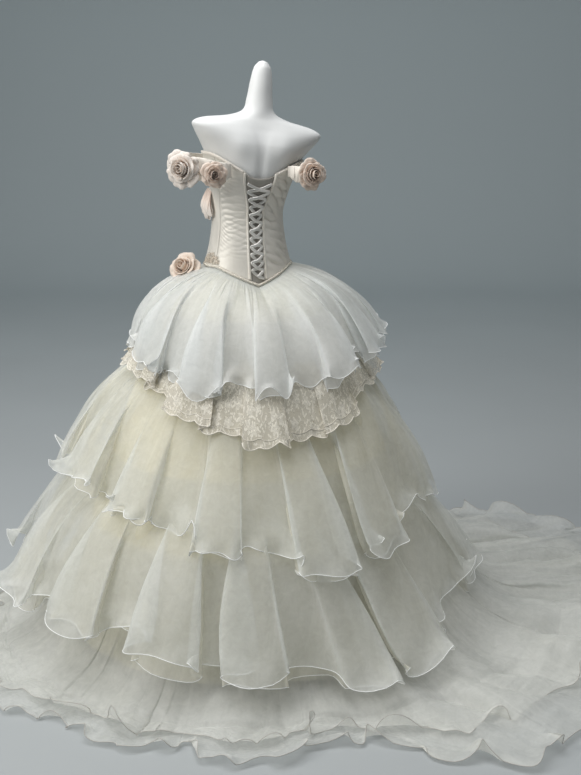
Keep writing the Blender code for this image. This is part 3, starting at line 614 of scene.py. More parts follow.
# %% The form
SPINE_DEPTH, BLADE_HEIGHT, NAPE_DEPTH, BLADE_APART = 0.0050, 0.0065, 0.0040, 0.062


def close_form(mesh, count):
    """Closes the first and the last ring of the form with a low point each."""
    corners = list(mesh.verts)
    for ring in (corners[:count], corners[-count:]):
        middle = sum((v.co for v in ring), Vector()) / count
        rise = 0.004 if middle.z > 1.0 else 0.0
        tip = mesh.verts.new(middle + Vector((0, 0, rise)))
        for k in range(count):
            mesh.faces.new((tip, ring[k], ring[(k + 1) % count]))


def make_form():
    azimuths = np.arange(0, 360, 3.0)
    heights = np.concatenate([np.linspace(0.83, 1.38, 50), np.linspace(1.384, 1.60, 64)])
    a, h = np.meshgrid(azimuths, heights)
    points = body(a, h)
    x = points[..., 0] + leaning(h)
    spine = SPINE_DEPTH * bell(x / 0.011) * smooth((h - 1.14) / 0.10) * (1 - smooth((h - 1.405) / 0.035))
    blades = sum(bell((x - middle) / 0.030) for middle in (-BLADE_APART, BLADE_APART))
    blades = BLADE_HEIGHT * blades * bell((h - 1.372) / 0.034) * smooth((h - 1.315) / 0.03)
    nape = NAPE_DEPTH * bell(x / 0.05) * bell((h - 1.415) / 0.03)
    points[..., 1] += smooth(points[..., 1] / 0.03) * (blades - spine - nape)
    made = sheet("form", points, form_white, ring=True, flip=True)
    reshaped(made, lambda mesh: close_form(mesh, len(azimuths)))
    made.data.shade_smooth()
    settle(made, "form_white", "dress_form")


make_form()
for node in ("stand_foot", "stand_pole"):
    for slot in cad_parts[node].material_slots:
        slot.material = stand_metal

# %% [markdown]
# The corset is seven curved panels and a placket behind the lacing. On a real one each panel is cut
# flat and its seams give the curve. Here each is read off the form, moved out by the ease, dipped a
# little at its seams, and rippled where the cloth pulls: diagonal drag lines run from the side seams
# up towards the lacing. A Solidify wall then gives it the satin's thickness.

# %% Corset edges
EASE, SATIN, PANEL_LENGTH = 0.0052, 0.0022, 0.28
WAIST_SEAM, BASQUE_DROP, BASQUE_HALF, BASQUE_POWER = 1.052, 0.048, 58.0, 1.3
NECKLINE = (  # azimuth, height
    (0, 1.352), (30, 1.348), (60, 1.322), (78, 1.302), (90, 1.298), (102, 1.302), (120, 1.322),
    (150, 1.348), (180, 1.352), (210, 1.352), (240, 1.362), (258, 1.352), (270, 1.340), (282, 1.352),
    (300, 1.362), (330, 1.352),
)
HIGH_SEAM, LOW_SEAM = 1.30, 1.02
LACING_TOP, LACING_BOTTOM, LACING_LOW = 0.036, 0.016, 1.20
SEAM_EDGES = (25, 62, 118)
SIDES = ((1, "left"), (-1, "right"))


def neckline(azimuths):
    return all_around(NECKLINE, azimuths)[0].reshape(np.shape(azimuths))


def waist_edge(azimuth):
    from_point = np.minimum(abs(turned(azimuth, 90)), abs(turned(azimuth, 270)))
    return WAIST_SEAM - BASQUE_DROP * np.maximum(0.0, 1 - from_point / BASQUE_HALF) ** BASQUE_POWER


def lacing_azimuth(height, side, inset=0.0):
    """The azimuth of the lacing gap's edge at each height."""
    share = smooth((np.asarray(height) - LACING_LOW) / (HIGH_SEAM - LACING_LOW))
    half = LACING_BOTTOM + (LACING_TOP - LACING_BOTTOM) * share - inset
    width = np.array([between(BODY, h)[0] for h in np.ravel(height)]).reshape(np.shape(height))
    return 90 - side * 90 * 2 / pi * half / width


print("basque point", round(float(waist_edge(90.0)), 4))


# %% Corset panels
SEAM_DIP, SEAM_DIP_WIDE, BODY_DEGREE = 0.0011, 0.0022, 0.0018


def panel_points(right, left, rows=60, columns=30, out=EASE + SATIN, top=0.0, ripple=None):
    """Points of a panel between two edges, each an azimuth or a function of height."""
    down, share = grid(rows, columns)

    def across(height):
        first, last = (side(height) if callable(side) else float(side) for side in (right, left))
        return first * (1 - share) + last * share

    high = neckline(across(HIGH_SEAM)) - top
    height = np.round(high + (waist_edge(across(LOW_SEAM)) - high) * down, 5)
    azimuth = across(height)
    from_edge = np.minimum(share, 1 - share) * np.abs(azimuth[0, -1] - azimuth[0, 0]) * BODY_DEGREE
    extra = ripple(azimuth, height, share) if ripple else 0.0
    return body(azimuth, height, out - SEAM_DIP * bell(from_edge / SEAM_DIP_WIDE) + extra)


def drag_lines(side, size, spacing, slope, low, seed, stray=1.0):
    """Narrow troughs that rise towards the lacing, uneven in depth and spacing, with soft pads between."""

    def ripple(azimuth, height, share):
        across = np.radians(turned(azimuth, 90)) * 0.095 * side
        slanted = height - slope * across
        wander = 0.010 * np.sin(across * 50 + seed) + 0.005 * np.sin(height * 37 + across * 70 + 2 * seed)
        wander = wander * stray
        pulls = np.abs(np.sin((slanted + wander) * pi / spacing)) ** 0.7 - 0.75
        crossing = (slanted + 0.7 * across - wander) * pi / (spacing * 0.62)
        second = np.abs(np.sin(crossing + seed)) ** 0.7 - 0.75
        window = smooth((height - low) / 0.06) * (1 - smooth((height - 1.285) / 0.03))
        uneven = 0.60 + 0.40 * np.sin(height * 33 + across * 40 + seed)
        other = 0.60 + 0.40 * np.sin(height * 51 - across * 62 + 3 * seed)
        hold = smooth(np.minimum(share, 1 - share) * 8)
        return size * (pulls * uneven + 0.6 * second * other) * window * hold

    return ripple


def rib_lines(size, seed):
    """Two faint bones run down a smooth panel, with a slight hollow between them."""

    def ripple(azimuth, height, share):
        bones = sum(bell((share - place) / 0.035) for place in (0.33, 0.67))
        soft = waves(azimuth, height * 20, 6, 16, 5, seed) * 0.35
        return size * (bones * 0.6 + soft) * smooth(np.minimum(share, 1 - share) * 9)

    return ripple


def make_panel(name, node, right, left, satin=bodice_satin, slot="bodice_satin", depth=SATIN, **shape):
    made = thick(sheet(name, panel_points(right, left, **shape), satin), depth)
    cut(made, PANEL_LENGTH, sides=2, digits=3)
    settle(made, slot, node)


def make_corset():
    first, second, third = SEAM_EDGES
    make_panel("panel_front", "bodice_front", 270 - first, 270 + first, ripple=rib_lines(0.0007, 3))
    pulls = {1: drag_lines(1, 0.0021, 0.018, 0.28, 1.06, 2.3),
             -1: drag_lines(-1, 0.0068, 0.038, 1.05, 1.02, 0.6, 0.3)}
    for side, word in SIDES:
        for piece, a, b in (("side_front", first, second), ("side", second, third)):
            right, left = sorted((270 + side * a, 270 + side * b))
            make_panel(f"panel_{piece}_{word}", f"bodice_{piece}_{word}", right, left,
                       ripple=rib_lines(0.0008, 200 + a * side))
        edges = [(270 + side * third) % 360, lambda height: lacing_azimuth(height, side)][::side]
        make_panel(f"panel_back_{word}", f"bodice_back_{word}", *edges, rows=150, columns=45,
                   ripple=pulls[side])
    # the placket's dark colour is painted shade for the gaps behind the lacing
    edges = [lambda height, side=side: lacing_azimuth(height, side, 0.0006) for side, _ in SIDES]
    make_panel("placket", "back_placket", *edges, satin=placket_satin, slot="placket_satin", depth=0.0012,
               columns=16, out=EASE + 0.0003, top=0.004)


make_corset()

# %% [markdown]
# The skirt hangs on a satin petticoat. Every tier is sewn round it at its own height, so the same cone
# gives the seams of all the tiers. It shows only as the warm ground under the organza.

# %% The petticoat
CLOTH, WAIST_DROP = 0.0020, np.array([0, 0, 0.016])
UNDERSKIRT = (  # height, radius, depth_share
    (0.030, 0.535, 1.00),
    (0.335, 0.462, 1.00),
    (0.535, 0.395, 1.00),
    (0.800, 0.295, 1.00),
    (0.950, 0.205, 0.94),
)


def cone(azimuth, height, out=0.0):
    heights, radii, shares = zip(*UNDERSKIRT)
    radius, share = np.interp(height, heights, radii), np.interp(height, heights, shares)
    turn = np.radians(azimuth)
    points = polar(turn, 1.0, height)
    points[..., 0] *= radius + out
    points[..., 1] *= radius * share + out
    return points


def at_waist(azimuth, ease):
    return body(azimuth, waist_edge(azimuth) - 0.0006, ease)


def make_petticoat():
    azimuths = np.arange(0, 360, 1.5)
    share = np.linspace(0, 1, 10)[:-1, None, None]
    upper = (at_waist(azimuths, EASE + 0.0009) - WAIST_DROP) * (1 - share) + cone(azimuths, 0.950) * share
    a, h = np.meshgrid(azimuths, np.linspace(0.950, 0.030, 38))
    soft = waves(a, h * 3, 9, 22, 8, 5, 2.0) * 0.004 * smooth((0.93 - h) / 0.2)
    lower = cone(a, h) - out_of(a) * np.maximum(soft, -0.001)[..., None]
    made = sheet("petticoat", np.concatenate([upper, lower]), underskirt_satin, ring=True)
    settle(made, "underskirt_satin", "underskirt")


make_petticoat()

# %% [markdown]
# A flounce is a straight strip, gathered to about half its length. At its seam the gathers are
# millimetres wide; on the way down they merge, until at the hem a few large folds carry all the
# length. Each tier below is drawn in that way: a profile swings from the seam out to the hem, large
# folds from a table stand out of it and lean, middle waves join them, and fine pleats fade from the
# seam. Sliding the points sideways as well as out makes the folds round and overhanging.

# %% Folds
SWEEP_AT, SWEEP_WIDE, NO_FOLD = 122, 40, -0.006
MIDDLE_DEPTH, LOOSE_DEPTH, RIM_DEPTH, PLEAT_DEPTH = 0.0046, 0.0026, 0.0055, 0.0014
CURL_REACH, FOLD_SAG, FOLD_ROUNDNESS = 0.034, 0.28, 0.8


def fold_field(rows, azimuth, t, seed, sweep=0.0, depth=(1.0, 1.0)):
    """Large folds as one wave whose crests and troughs lie where the table says.

    Gives how far the cloth stands out and how far it slides sideways.
    """
    rng = np.random.default_rng(seed)
    stops, ordered = [], sorted(rows)
    for (place, height), (after, next_height) in zip(ordered, ordered[1:] + ordered[:1]):
        stops.append((place, height))
        if height > 0 and next_height > 0:
            stops.append((place + ((after - place) % 360) / 2, NO_FOLD))
    count = len(stops)
    bends = rng.uniform(-2.4, 2.4, count)
    round_off = rng.uniform(1.1, 3.0, count)
    tilts = rng.uniform(0.25, 1.15, count) * rng.choice([-1, 1], count)
    places, heights = np.array(stops, float).T
    depths = heights * np.where(heights > 0, *depth)
    swept = sweep * bell(turned(places, SWEEP_AT) / SWEEP_WIDE)
    first = 0 if heights[0] <= 0 else 1
    phases = (np.arange(-count, 2 * count) + first) * 0.5
    outward, sideways = np.zeros_like(azimuth), np.zeros_like(azimuth)
    for r, share in enumerate(t[:, 0]):
        knots = places + bends * (1 - share) ** 2 - swept * (1 - share)
        row = np.interp(azimuth[r], np.concatenate([knots - 360, knots, knots + 360]), phases)
        nearest = np.rint(row * 2).astype(int)
        beyond = np.where(row * 2 > nearest, nearest + 1, nearest - 1)
        here, there = (nearest - first) % count, (beyond - first) % count
        high, low = (pick(depths[here], depths[there]) for pick in (np.maximum, np.minimum))
        rise = (0.5 - 0.5 * np.cos(2 * pi * row)) ** FOLD_ROUNDNESS
        outward[r] = low + (high - low) * rise
        wide = 2 * np.radians(np.abs(turned(places[here], places[there])))
        crest = np.where(depths[here] > depths[there], here, there)
        sideways[r] = wide / (4 * pi) * np.sin(4 * pi * row) * round_off[crest]
        sideways[r] += tilts[crest] * (high - low) * 1.6 * rise
    return outward, sideways


def middle_waves(azimuth, t, count, seed):
    """Folds between the large ones: they wander, come and go, and some die out on the way down."""
    rng = np.random.default_rng(seed)
    turn = np.radians(azimuth)
    wander = sum(
        rng.uniform(0.9, 1.8) * np.sin(k * turn + rng.uniform(0, 6) + rng.uniform(-1.2, 1.2) * t)
        for k in (3, 5, 8, 13)
    )
    phase = count * turn + wander
    size = 0.55 + 0.45 * waves(azimuth, t, 4, 17, 6, seed + 1, 2.5)
    return (np.sin(phase) + 0.28 * np.sin(2 * phase + 0.8)) * size, np.sin(2 * phase) * size


def curls(azimuth, t, seed, count, share=0.16, reach=0.055):
    """Where the hem rolls outwards and up: how far out and how far up it takes the cloth."""
    rng = np.random.default_rng(seed)
    out, up = np.zeros_like(azimuth), np.zeros_like(azimuth)
    along = np.clip((t - (1 - share)) / share, 0, 1)
    for k in range(count):
        place = (k + rng.uniform(0.1, 0.9)) * 360 / count
        wide, roll = rng.uniform(1.6, 3.4), rng.uniform(1.4, 3.3)
        offset = turned(azimuth, place + rng.uniform(-3, 3) * along)
        angle = along * roll * bell(offset / wide, 1.5)
        out += reach / roll * (1 - np.cos(angle))
        up += reach / roll * (angle - np.sin(angle))
    return out, up


def fine_pleats(count, azimuth, t, seed, fade):
    """Gathers at the seam, which fade out on the way down."""
    wander = 3 * waves(azimuth, t, 5, 30, 6, seed, 1.0)
    return np.sin(count * np.radians(azimuth) + wander) * PLEAT_DEPTH * smooth(t / 0.03) * bell(t / fade)


def flounce(start, hem, puff, drop, t, folds_at, seed, size=1.0, middle=34, pleats=150, hem_wave=0.010,
            curled=13, sweep=0.0, depth=(1.0, 1.0), opening=1.35, folds_seed=None):
    """Points of a gathered tier: start and hem are points per column, t runs down the rows."""
    azimuth = np.linspace(0, 360, len(start), endpoint=False)[None, :]
    azimuth, t = np.broadcast_arrays(azimuth, t[:, None])
    swing = start + (hem - start) * puff[:, None]
    swing[:, 2] = start[:, 2] + (hem[:, 2] - start[:, 2]) * drop
    s = t[..., None]
    points = start * (1 - s) ** 2 + swing * 2 * s * (1 - s) + hem * s * s
    reach = np.linalg.norm(points[..., :2], axis=2)
    outward, sideways = fold_field(folds_at, azimuth, t, folds_seed or seed, sweep, depth)
    outward = outward * t**opening
    mid_out, mid_side = middle_waves(azimuth, t, middle, seed + 10)
    mid_size = MIDDLE_DEPTH * size * smooth(t / 0.2) * (1 - 0.80 * smooth((t - 0.2) / 0.6))
    loose = waves(azimuth, t * 2.0, 6, 34, 14, seed + 30, 6.0) * LOOSE_DEPTH * size * smooth(t / 0.4)
    lettuce = smooth((t - 0.93) / 0.07)
    rim = waves(azimuth, t, 50, 110, 12, seed + 40, 1.0) * RIM_DEPTH * size * lettuce
    lift = waves(azimuth, t, 16, 60, 12, seed + 50, 1.0) * hem_wave * 0.75 * lettuce
    rolled_out, rolled_up = curls(azimuth, t, seed + 60, curled, reach=CURL_REACH * size)
    out = outward + mid_out * mid_size + fine_pleats(pleats, azimuth, t, seed + 20, 0.17)
    out += loose + rim + rolled_out
    side = sideways * reach * smooth(t / 0.9) + mid_side * mid_size * 0.55
    points = points + out_of(azimuth) * out[..., None] + out_of(azimuth + 90) * side[..., None]
    points[..., 2] += lift + rolled_up - outward * FOLD_SAG
    return points


def mark_gathers(piece, points):
    """Stores how many times over the cloth is bunched, seen from outside: 1 where it lies flat."""
    across = (np.roll(points, -1, axis=1) - np.roll(points, 1, axis=1))[..., :2]
    away = points[..., :2] / np.linalg.norm(points[..., :2], axis=2)[..., None]
    sideways = np.abs(across[..., 0] * away[..., 1] - across[..., 1] * away[..., 0])
    bunched = np.clip(np.linalg.norm(across, axis=2) / np.maximum(sideways, 1e-6), 1.0, 3.2)
    for _ in range(2):
        bunched = (np.roll(bunched, 1, axis=1) + 2 * bunched + np.roll(bunched, -1, axis=1)) / 4
    layer = piece.data.attributes.new("gather", "FLOAT", "POINT")
    layer.data.foreach_set("value", bunched.astype(np.float32).ravel())


print("fold helpers ready")

# %% [markdown]
# Two things repeat along every edge, and Geometry Nodes makes both. Each hem is rolled over a fine
# thread: its line becomes a curve with a round profile swept along it. Sequins and beads are sewn on by
# the thousand: a flattened bead on each point, over a piece's faces or strung along a line. The trees
# are built once, with named inputs, and their copies are made real, so each piece is one plain mesh.


# %% Trees for hems and beads
def new_tree(name, **inputs):
    """A tree that takes and gives geometry, with these sockets besides, each a kind and a value."""
    tree = bpy.data.node_groups.new(name, "GeometryNodeTree")
    tree.interface.new_socket("Geometry", in_out="INPUT", socket_type="NodeSocketGeometry")
    for title, (kind, value) in inputs.items():
        port = tree.interface.new_socket(title, in_out="INPUT", socket_type="NodeSocket" + kind)
        if value is not None:
            port.default_value = value
    tree.interface.new_socket("Geometry", in_out="OUTPUT", socket_type="NodeSocketGeometry")
    return tree, tree.nodes.new("NodeGroupInput"), tree.nodes.new("NodeGroupOutput")


def in_line(tree, *nodes):
    """Links each node's first output to the next one's first input."""
    for before, after in zip(nodes, nodes[1:]):
        tree.links.new(before.outputs[0], after.inputs[0])


def rolled_tree():
    tree, given, ends = new_tree("rolled_edge", Radius=("Float", 0.001), Sides=("Int", 6),
                                 Finish=("Material", None))
    make, join = tree.nodes.new, tree.links.new
    ring, sweep = make("GeometryNodeCurvePrimitiveCircle"), make("GeometryNodeCurveToMesh")
    soft, cover = make("GeometryNodeSetShadeSmooth"), make("GeometryNodeSetMaterial")
    in_line(tree, given, make("GeometryNodeMeshToCurve"), sweep, soft, cover, ends)
    join(given.outputs["Radius"], ring.inputs["Radius"])
    join(given.outputs["Sides"], ring.inputs["Resolution"])
    join(ring.outputs["Curve"], sweep.inputs["Profile Curve"])
    join(given.outputs["Finish"], cover.inputs["Material"])
    sweep.inputs["Fill Caps"].default_value = True
    return tree


def bead_tree(name, along):
    tree, given, ends = new_tree(name, Amount=("Float", 1000.0), Radius=("Float", 0.0015), Seed=("Int", 1),
                                 Finish=("Material", None))
    make, join = tree.nodes.new, tree.links.new
    ball, place = make("GeometryNodeMeshUVSphere"), make("GeometryNodeInstanceOnPoints")
    ball.inputs["Segments"].default_value = 5
    ball.inputs["Rings"].default_value = 2
    size = make("FunctionNodeRandomValue")
    size.data_type = "FLOAT_VECTOR"
    size.inputs[0].default_value = (0.7, 0.7, 0.45)
    size.inputs[1].default_value = (1.25, 1.25, 0.7)
    if along:
        steps = make("GeometryNodeResampleCurve")
        steps.mode = "LENGTH"
        in_line(tree, given, make("GeometryNodeMeshToCurve"), steps, place)
        join(given.outputs["Amount"], steps.inputs["Length"])
    else:
        spread = make("GeometryNodeDistributePointsOnFaces")
        in_line(tree, given, spread, place)
        join(given.outputs["Amount"], spread.inputs["Density"])
        join(given.outputs["Seed"], spread.inputs["Seed"])
        join(spread.outputs["Rotation"], place.inputs["Rotation"])
    soft, cover = make("GeometryNodeSetShadeSmooth"), make("GeometryNodeSetMaterial")
    in_line(tree, place, make("GeometryNodeRealizeInstances"), soft, cover, ends)
    join(given.outputs["Radius"], ball.inputs["Radius"])
    join(given.outputs["Seed"], size.inputs["Seed"])
    join(ball.outputs["Mesh"], place.inputs["Instance"])
    join(size.outputs[0], place.inputs["Scale"])
    join(given.outputs["Finish"], cover.inputs["Material"])
    return tree


ROLLED, SCATTER, STRING = rolled_tree(), bead_tree("scattered_beads", False), bead_tree("strung_beads", True)


def line_mesh(name, line):
    """A closed line of points as a mesh of edges."""
    mesh = bpy.data.meshes.new(name)
    mesh.from_pydata([tuple(p) for p in line], [(k, (k + 1) % len(line)) for k in range(len(line))], [])
    return mesh


def grown(name, mesh, tree, material, slot, **values):
    """What a tree makes of a mesh, with its named inputs set by their sockets' identifiers."""
    made = link(name, mesh, material)
    nodes = made.modifiers.new("grown", "NODES")
    nodes.node_group = tree
    values["Finish"] = material
    for item in tree.interface.items_tree:
        if item.in_out == "INPUT" and item.name in values:
            nodes[item.identifier] = values[item.name]
    return settle(applied(made), slot)


def rolled(name, line, radius, material, slot):
    return grown(name, line_mesh(name, line), ROLLED, material, slot, Radius=radius, Sides=5)


print("trees ready")

# %% [markdown]
# The tiers' tables: where each hem runs round the gown, and its largest folds. They are the sizes that
# the solids have, so each finished tier lies on its own solid. A fold with a depth below zero is a
# trough that is pressed in between two crests.

# %% Tables of the tiers
HEMS = (  # azimuth, then radius, height and puff of flounce 1, the lace flounce, flounce 2 and flounce 3
    (13, (0.322, 0.850, 0.82), (0.334, 0.798, 0.60), (0.515, 0.525, 0.74), (0.672, 0.200, 0.68)),
    (43, (0.354, 0.795, 0.74), (0.374, 0.732, 0.58), (0.524, 0.470, 0.55), (0.660, 0.195, 0.64)),
    (73, (0.362, 0.775, 0.72), (0.414, 0.662, 0.57), (0.540, 0.405, 0.51), (0.656, 0.145, 0.52)),
    (103, (0.362, 0.788, 0.68), (0.416, 0.660, 0.57), (0.543, 0.365, 0.51), (0.664, 0.095, 0.39)),
    (133, (0.362, 0.838, 0.68), (0.375, 0.750, 0.55), (0.522, 0.425, 0.76), (0.655, 0.155, 0.42)),
    (163, (0.372, 0.862, 0.68), (0.362, 0.785, 0.55), (0.458, 0.465, 0.84), (0.612, 0.200, 0.52)),
    (193, (0.362, 0.865, 0.68), (0.358, 0.780, 0.55), (0.474, 0.470, 0.84), (0.605, 0.215, 0.46)),
    (223, (0.348, 0.850, 0.68), (0.360, 0.770, 0.55), (0.495, 0.460, 0.80), (0.625, 0.200, 0.50)),
    (253, (0.342, 0.840, 0.68), (0.362, 0.765, 0.55), (0.500, 0.455, 0.78), (0.636, 0.185, 0.50)),
    (283, (0.338, 0.840, 0.68), (0.362, 0.765, 0.55), (0.508, 0.460, 0.80), (0.640, 0.180, 0.53)),
    (313, (0.322, 0.840, 0.80), (0.342, 0.786, 0.53), (0.514, 0.480, 0.86), (0.652, 0.180, 0.60)),
    (343, (0.309, 0.838, 0.88), (0.322, 0.816, 0.55), (0.514, 0.505, 0.90), (0.664, 0.200, 0.68)),
)
FLOUNCE_1, LACE_FLOUNCE, FLOUNCE_2, FLOUNCE_3 = ([(row[0], *row[k]) for row in HEMS] for k in range(1, 5))
FLOUNCE_1_FOLDS = (  # azimuth, depth
    (352, 0.036), (12, -0.012), (27, 0.034), (45, -0.010), (57, 0.031), (72, -0.012), (85, 0.028),
    (100, -0.012), (114, 0.034), (130, -0.010), (143, 0.028), (160, 0.020), (178, -0.010), (193, 0.031),
    (212, -0.010), (228, 0.031), (248, -0.010), (266, 0.034), (285, -0.010), (302, 0.031), (320, -0.010),
    (334, 0.028),
)
LACE_FOLDS = (  # azimuth, depth
    (20, 0.014), (52, 0.014), (82, 0.019), (112, 0.014), (148, 0.012), (190, 0.014), (232, 0.014),
    (272, 0.014), (312, 0.014),
)
FLOUNCE_2_FOLDS = (  # azimuth, depth
    (347, 0.035), (2, -0.014), (15, 0.041), (29, -0.016), (41, 0.035), (55, -0.014), (67, 0.030),
    (80, -0.014), (93, 0.051), (107, -0.018), (119, 0.041), (132, -0.014), (145, 0.046), (163, 0.024),
    (181, 0.035), (199, -0.012), (216, 0.038), (236, -0.012), (254, 0.041), (274, -0.012), (292, 0.038),
    (311, -0.012), (328, 0.038),
)
FLOUNCE_3_FOLDS = (  # azimuth, depth
    (342, 0.041), (356, -0.014), (9, 0.041), (22, -0.016), (34, 0.035), (46, -0.014), (58, 0.038),
    (70, -0.016), (82, 0.035), (95, 0.046), (108, -0.014), (120, 0.049), (136, -0.014), (150, 0.035),
    (168, -0.012), (185, 0.038), (204, -0.012), (222, 0.041), (242, -0.012), (260, 0.041), (280, -0.012),
    (298, 0.038), (319, -0.010),
)

# %% [markdown]
# With the tables read, a tier is five short steps: its seam, its hem, the flounce between them, the
# rolled edge, and the strip it was cut from.


# %% Tiers of organza
def from_waist(shrink):
    return lambda azimuths: at_waist(azimuths, EASE - shrink) - np.array([0, 0, 0.002])


def from_cone(height, clear):
    return lambda azimuths: cone(azimuths, height, CLOTH + clear)


def rows_down(count):
    """Shares of the way down, closer together near the hem."""
    s = np.linspace(0, 1, count)
    return s * (1 - 0.18 * s * (1 - s)) ** 0.85


def hem_points(table, azimuths, shrink=0.0, lower=0.0, uneven=0.0, seed=1):
    radius, height, puff = all_around(table, azimuths)
    height = height - lower - uneven * waves(azimuths, 0.0, 4, 15, 6, seed)
    return polar(np.radians(azimuths), radius - shrink, height), puff


def make_tier(name, nodes, table, folds_at, drop, seed, seam, columns, rows, material, length,
              shrink=0.0, lower=0.0, uneven=0.006, hem=0.0011, **style):
    azimuths = np.linspace(0, 360, columns, endpoint=False)
    end, puff = hem_points(table, azimuths, shrink, lower, uneven, seed)
    points = flounce(seam(azimuths), end, puff, drop, rows_down(rows), folds_at, seed, **style)
    made = sheet(name, points, material, ring=True)
    mark_gathers(made, points)
    edge = rolled(name + "_hem", points[-1], hem, hem_organza, "organza")
    cut(made, length)
    settle(made, "organza", *nodes)


UNDER_LOWER, UNDER_HEM = 0.019, 0.0010


def make_pair(name, number, table, folds_at, drop, outer, under, **both):
    """A flounce and its under layer, which shares its large folds and hangs a little lower."""
    seed = number * 10 + 1
    make_tier(name, [f"flounce_{number}"], table, folds_at, drop, seed, **outer, **both)
    make_tier(name + "_under", [], table, folds_at, drop, seed + 1, lower=UNDER_LOWER, hem=UNDER_HEM,
              folds_seed=seed, **under, **both)


# %% [markdown]
# The lace tier is narrower and firmer than the organza. It falls over the second flounce in shallow
# waves, and its edge is cut in scallops, each with its own corded rim.

# %% The lace tier
SCALLOP, SCALLOP_DEPTH, SCALLOP_LIFT, SCALLOP_FROM = 0.056, 0.011, 0.005, 0.72
LACE_LENGTH, LACE_SEAM, LACE_CLEAR, LACE_SWING = 0.24, 0.925, 0.0015, 0.42


def make_lace_tier():
    azimuths = np.linspace(0, 360, 960, endpoint=False)
    end, puff = hem_points(LACE_FLOUNCE, azimuths)
    t = np.linspace(0, 1, 37)
    points = flounce(from_cone(LACE_SEAM, LACE_CLEAR)(azimuths), end, puff, LACE_SWING, t, LACE_FOLDS, 51,
                     size=0.7, middle=30, pleats=120, hem_wave=0.004, curled=0)
    run = np.concatenate([[0], np.cumsum(np.linalg.norm(np.diff(points[-1], axis=0), axis=1))])
    dip = np.abs(np.sin(pi * round(run[-1] / SCALLOP) * run / run[-1])) ** 0.7
    low = smooth((t - SCALLOP_FROM) / (1 - SCALLOP_FROM))[:, None]
    points[..., 2] -= (dip * SCALLOP_DEPTH - SCALLOP_LIFT) * low
    points += out_of(azimuths) * (0.0016 + 0.0075 * t[:, None, None])
    made = sheet("lace_tier", points, beige_lace, ring=True)
    parts = [
        rolled("lace_tier_hem", points[-1], 0.0013, trim_satin, "beige_lace"),
        rolled("lace_tier_cord", points[-3] + out_of(azimuths) * 0.0008, 0.0008, trim_satin, "beige_lace"),
        grown("lace_tier_beads", made.data.copy(), SCATTER, sequin, "beige_lace", Amount=8200.0,
              Radius=0.0012, Seed=7),
    ]
    cut(made, LACE_LENGTH)
    settle(made, "beige_lace", "lace_flounce")


make_lace_tier()

# %% [markdown]
# Each of the three flounces is two layers of organza. The under layer follows the same large folds, so
# the two never cut through each other, and its hem shows as a second line below the first.

# %% Flounces
make_pair(
    "flounce_top", 1, FLOUNCE_1, FLOUNCE_1_FOLDS, 0.10, opening=0.95, material=organza_outer,
    outer=dict(seam=from_waist(0.0), columns=640, rows=50, length=0.36),
    under=dict(seam=from_waist(0.002), columns=460, rows=36, length=0.37, shrink=0.016, uneven=0.010,
               middle=39),
)
make_pair(
    "flounce_middle", 2, FLOUNCE_2, FLOUNCE_2_FOLDS, 0.38, opening=1.8, sweep=7.0, depth=(1.2, 1.2),
    outer=dict(seam=from_cone(0.800, 0.001), columns=720, rows=60, length=0.46, material=organza_low,
               size=1.3, middle=40, uneven=0.010, curled=15),
    under=dict(seam=from_cone(0.797, 0.0), columns=520, rows=40, length=0.47, material=organza_under,
               size=1.2, middle=36, uneven=0.012, curled=8, shrink=0.020),
)
make_pair(
    "flounce_low", 3, FLOUNCE_3, FLOUNCE_3_FOLDS, 0.22, opening=1.9, sweep=16.0, depth=(1.25, 1.7),
    outer=dict(seam=from_cone(0.535, 0.001), columns=760, rows=62, length=0.50, material=organza_low,
               size=1.35, middle=44, uneven=0.012, curled=14),
    under=dict(seam=from_cone(0.532, 0.0), columns=560, rows=40, length=0.51, material=organza_under,
               size=1.3, middle=38, uneven=0.012, curled=8, shrink=0.022),
)

# %% [markdown]
# The lowest tier falls to the floor, turns outwards on it and grows into the train. Where it lies, its
# folds are ridges that run outwards and sink towards the hem, and the hem itself curls up in loops,
# because the rolled wire in it is longer than the edge it is sewn to.

# %% Tables of the floor skirt and train
FLOOR_SKIRT = (  # azimuth, touch, radius
    (343, 0.715, 0.790), (8, 0.725, 0.850), (26, 0.730, 0.865), (42, 0.720, 0.805), (53, 0.725, 0.845),
    (63, 0.715, 0.790), (73, 0.730, 0.870), (87, 0.720, 0.805), (98, 0.735, 0.850), (106, 0.760, 1.010),
    (116, 0.790, 1.100), (126, 0.820, 1.110), (138, 0.850, 1.250), (154, 0.880, 1.420), (169, 0.880, 1.480),
    (184, 0.860, 1.380), (198, 0.830, 1.220), (212, 0.800, 1.080), (230, 0.750, 0.930), (253, 0.720, 0.820),
    (283, 0.710, 0.800), (313, 0.710, 0.790),
)
FLOOR_FOLDS = (  # azimuth, width, depth
    (350, 7.0, 0.040), (10, 6.5, 0.034), (30, 6.5, 0.040), (50, 6.0, 0.032), (70, 6.0, 0.040),
    (90, 6.0, 0.034), (108, 5.5, 0.050), (123, 5.5, 0.062), (138, 5.5, 0.074), (153, 5.5, 0.070),
    (168, 5.5, 0.078), (183, 5.5, 0.074), (198, 5.5, 0.080), (213, 6.0, 0.070), (231, 7.0, 0.046),
    (254, 7.0, 0.036), (278, 7.0, 0.036), (302, 7.0, 0.036), (326, 7.0, 0.036),
)
FALL = ((0.00, 0.00, 0.00), (0.26, 0.36, 0.10), (0.62, 0.80, 0.45), (1.00, 1.00, 0.85))  # way, drop, rise
RUN = ((0.00, 0.92), (0.30, 1.00), (0.65, 0.80), (1.00, 0.30))  # way, height of the ridges
FLOOR_FLAT, CRUMPLE_DEPTH, LOOP_HEIGHT, LOOP_SWAY, FEWEST_FOLDS_AT = 0.012, 0.0160, 0.015, 0.010, 50


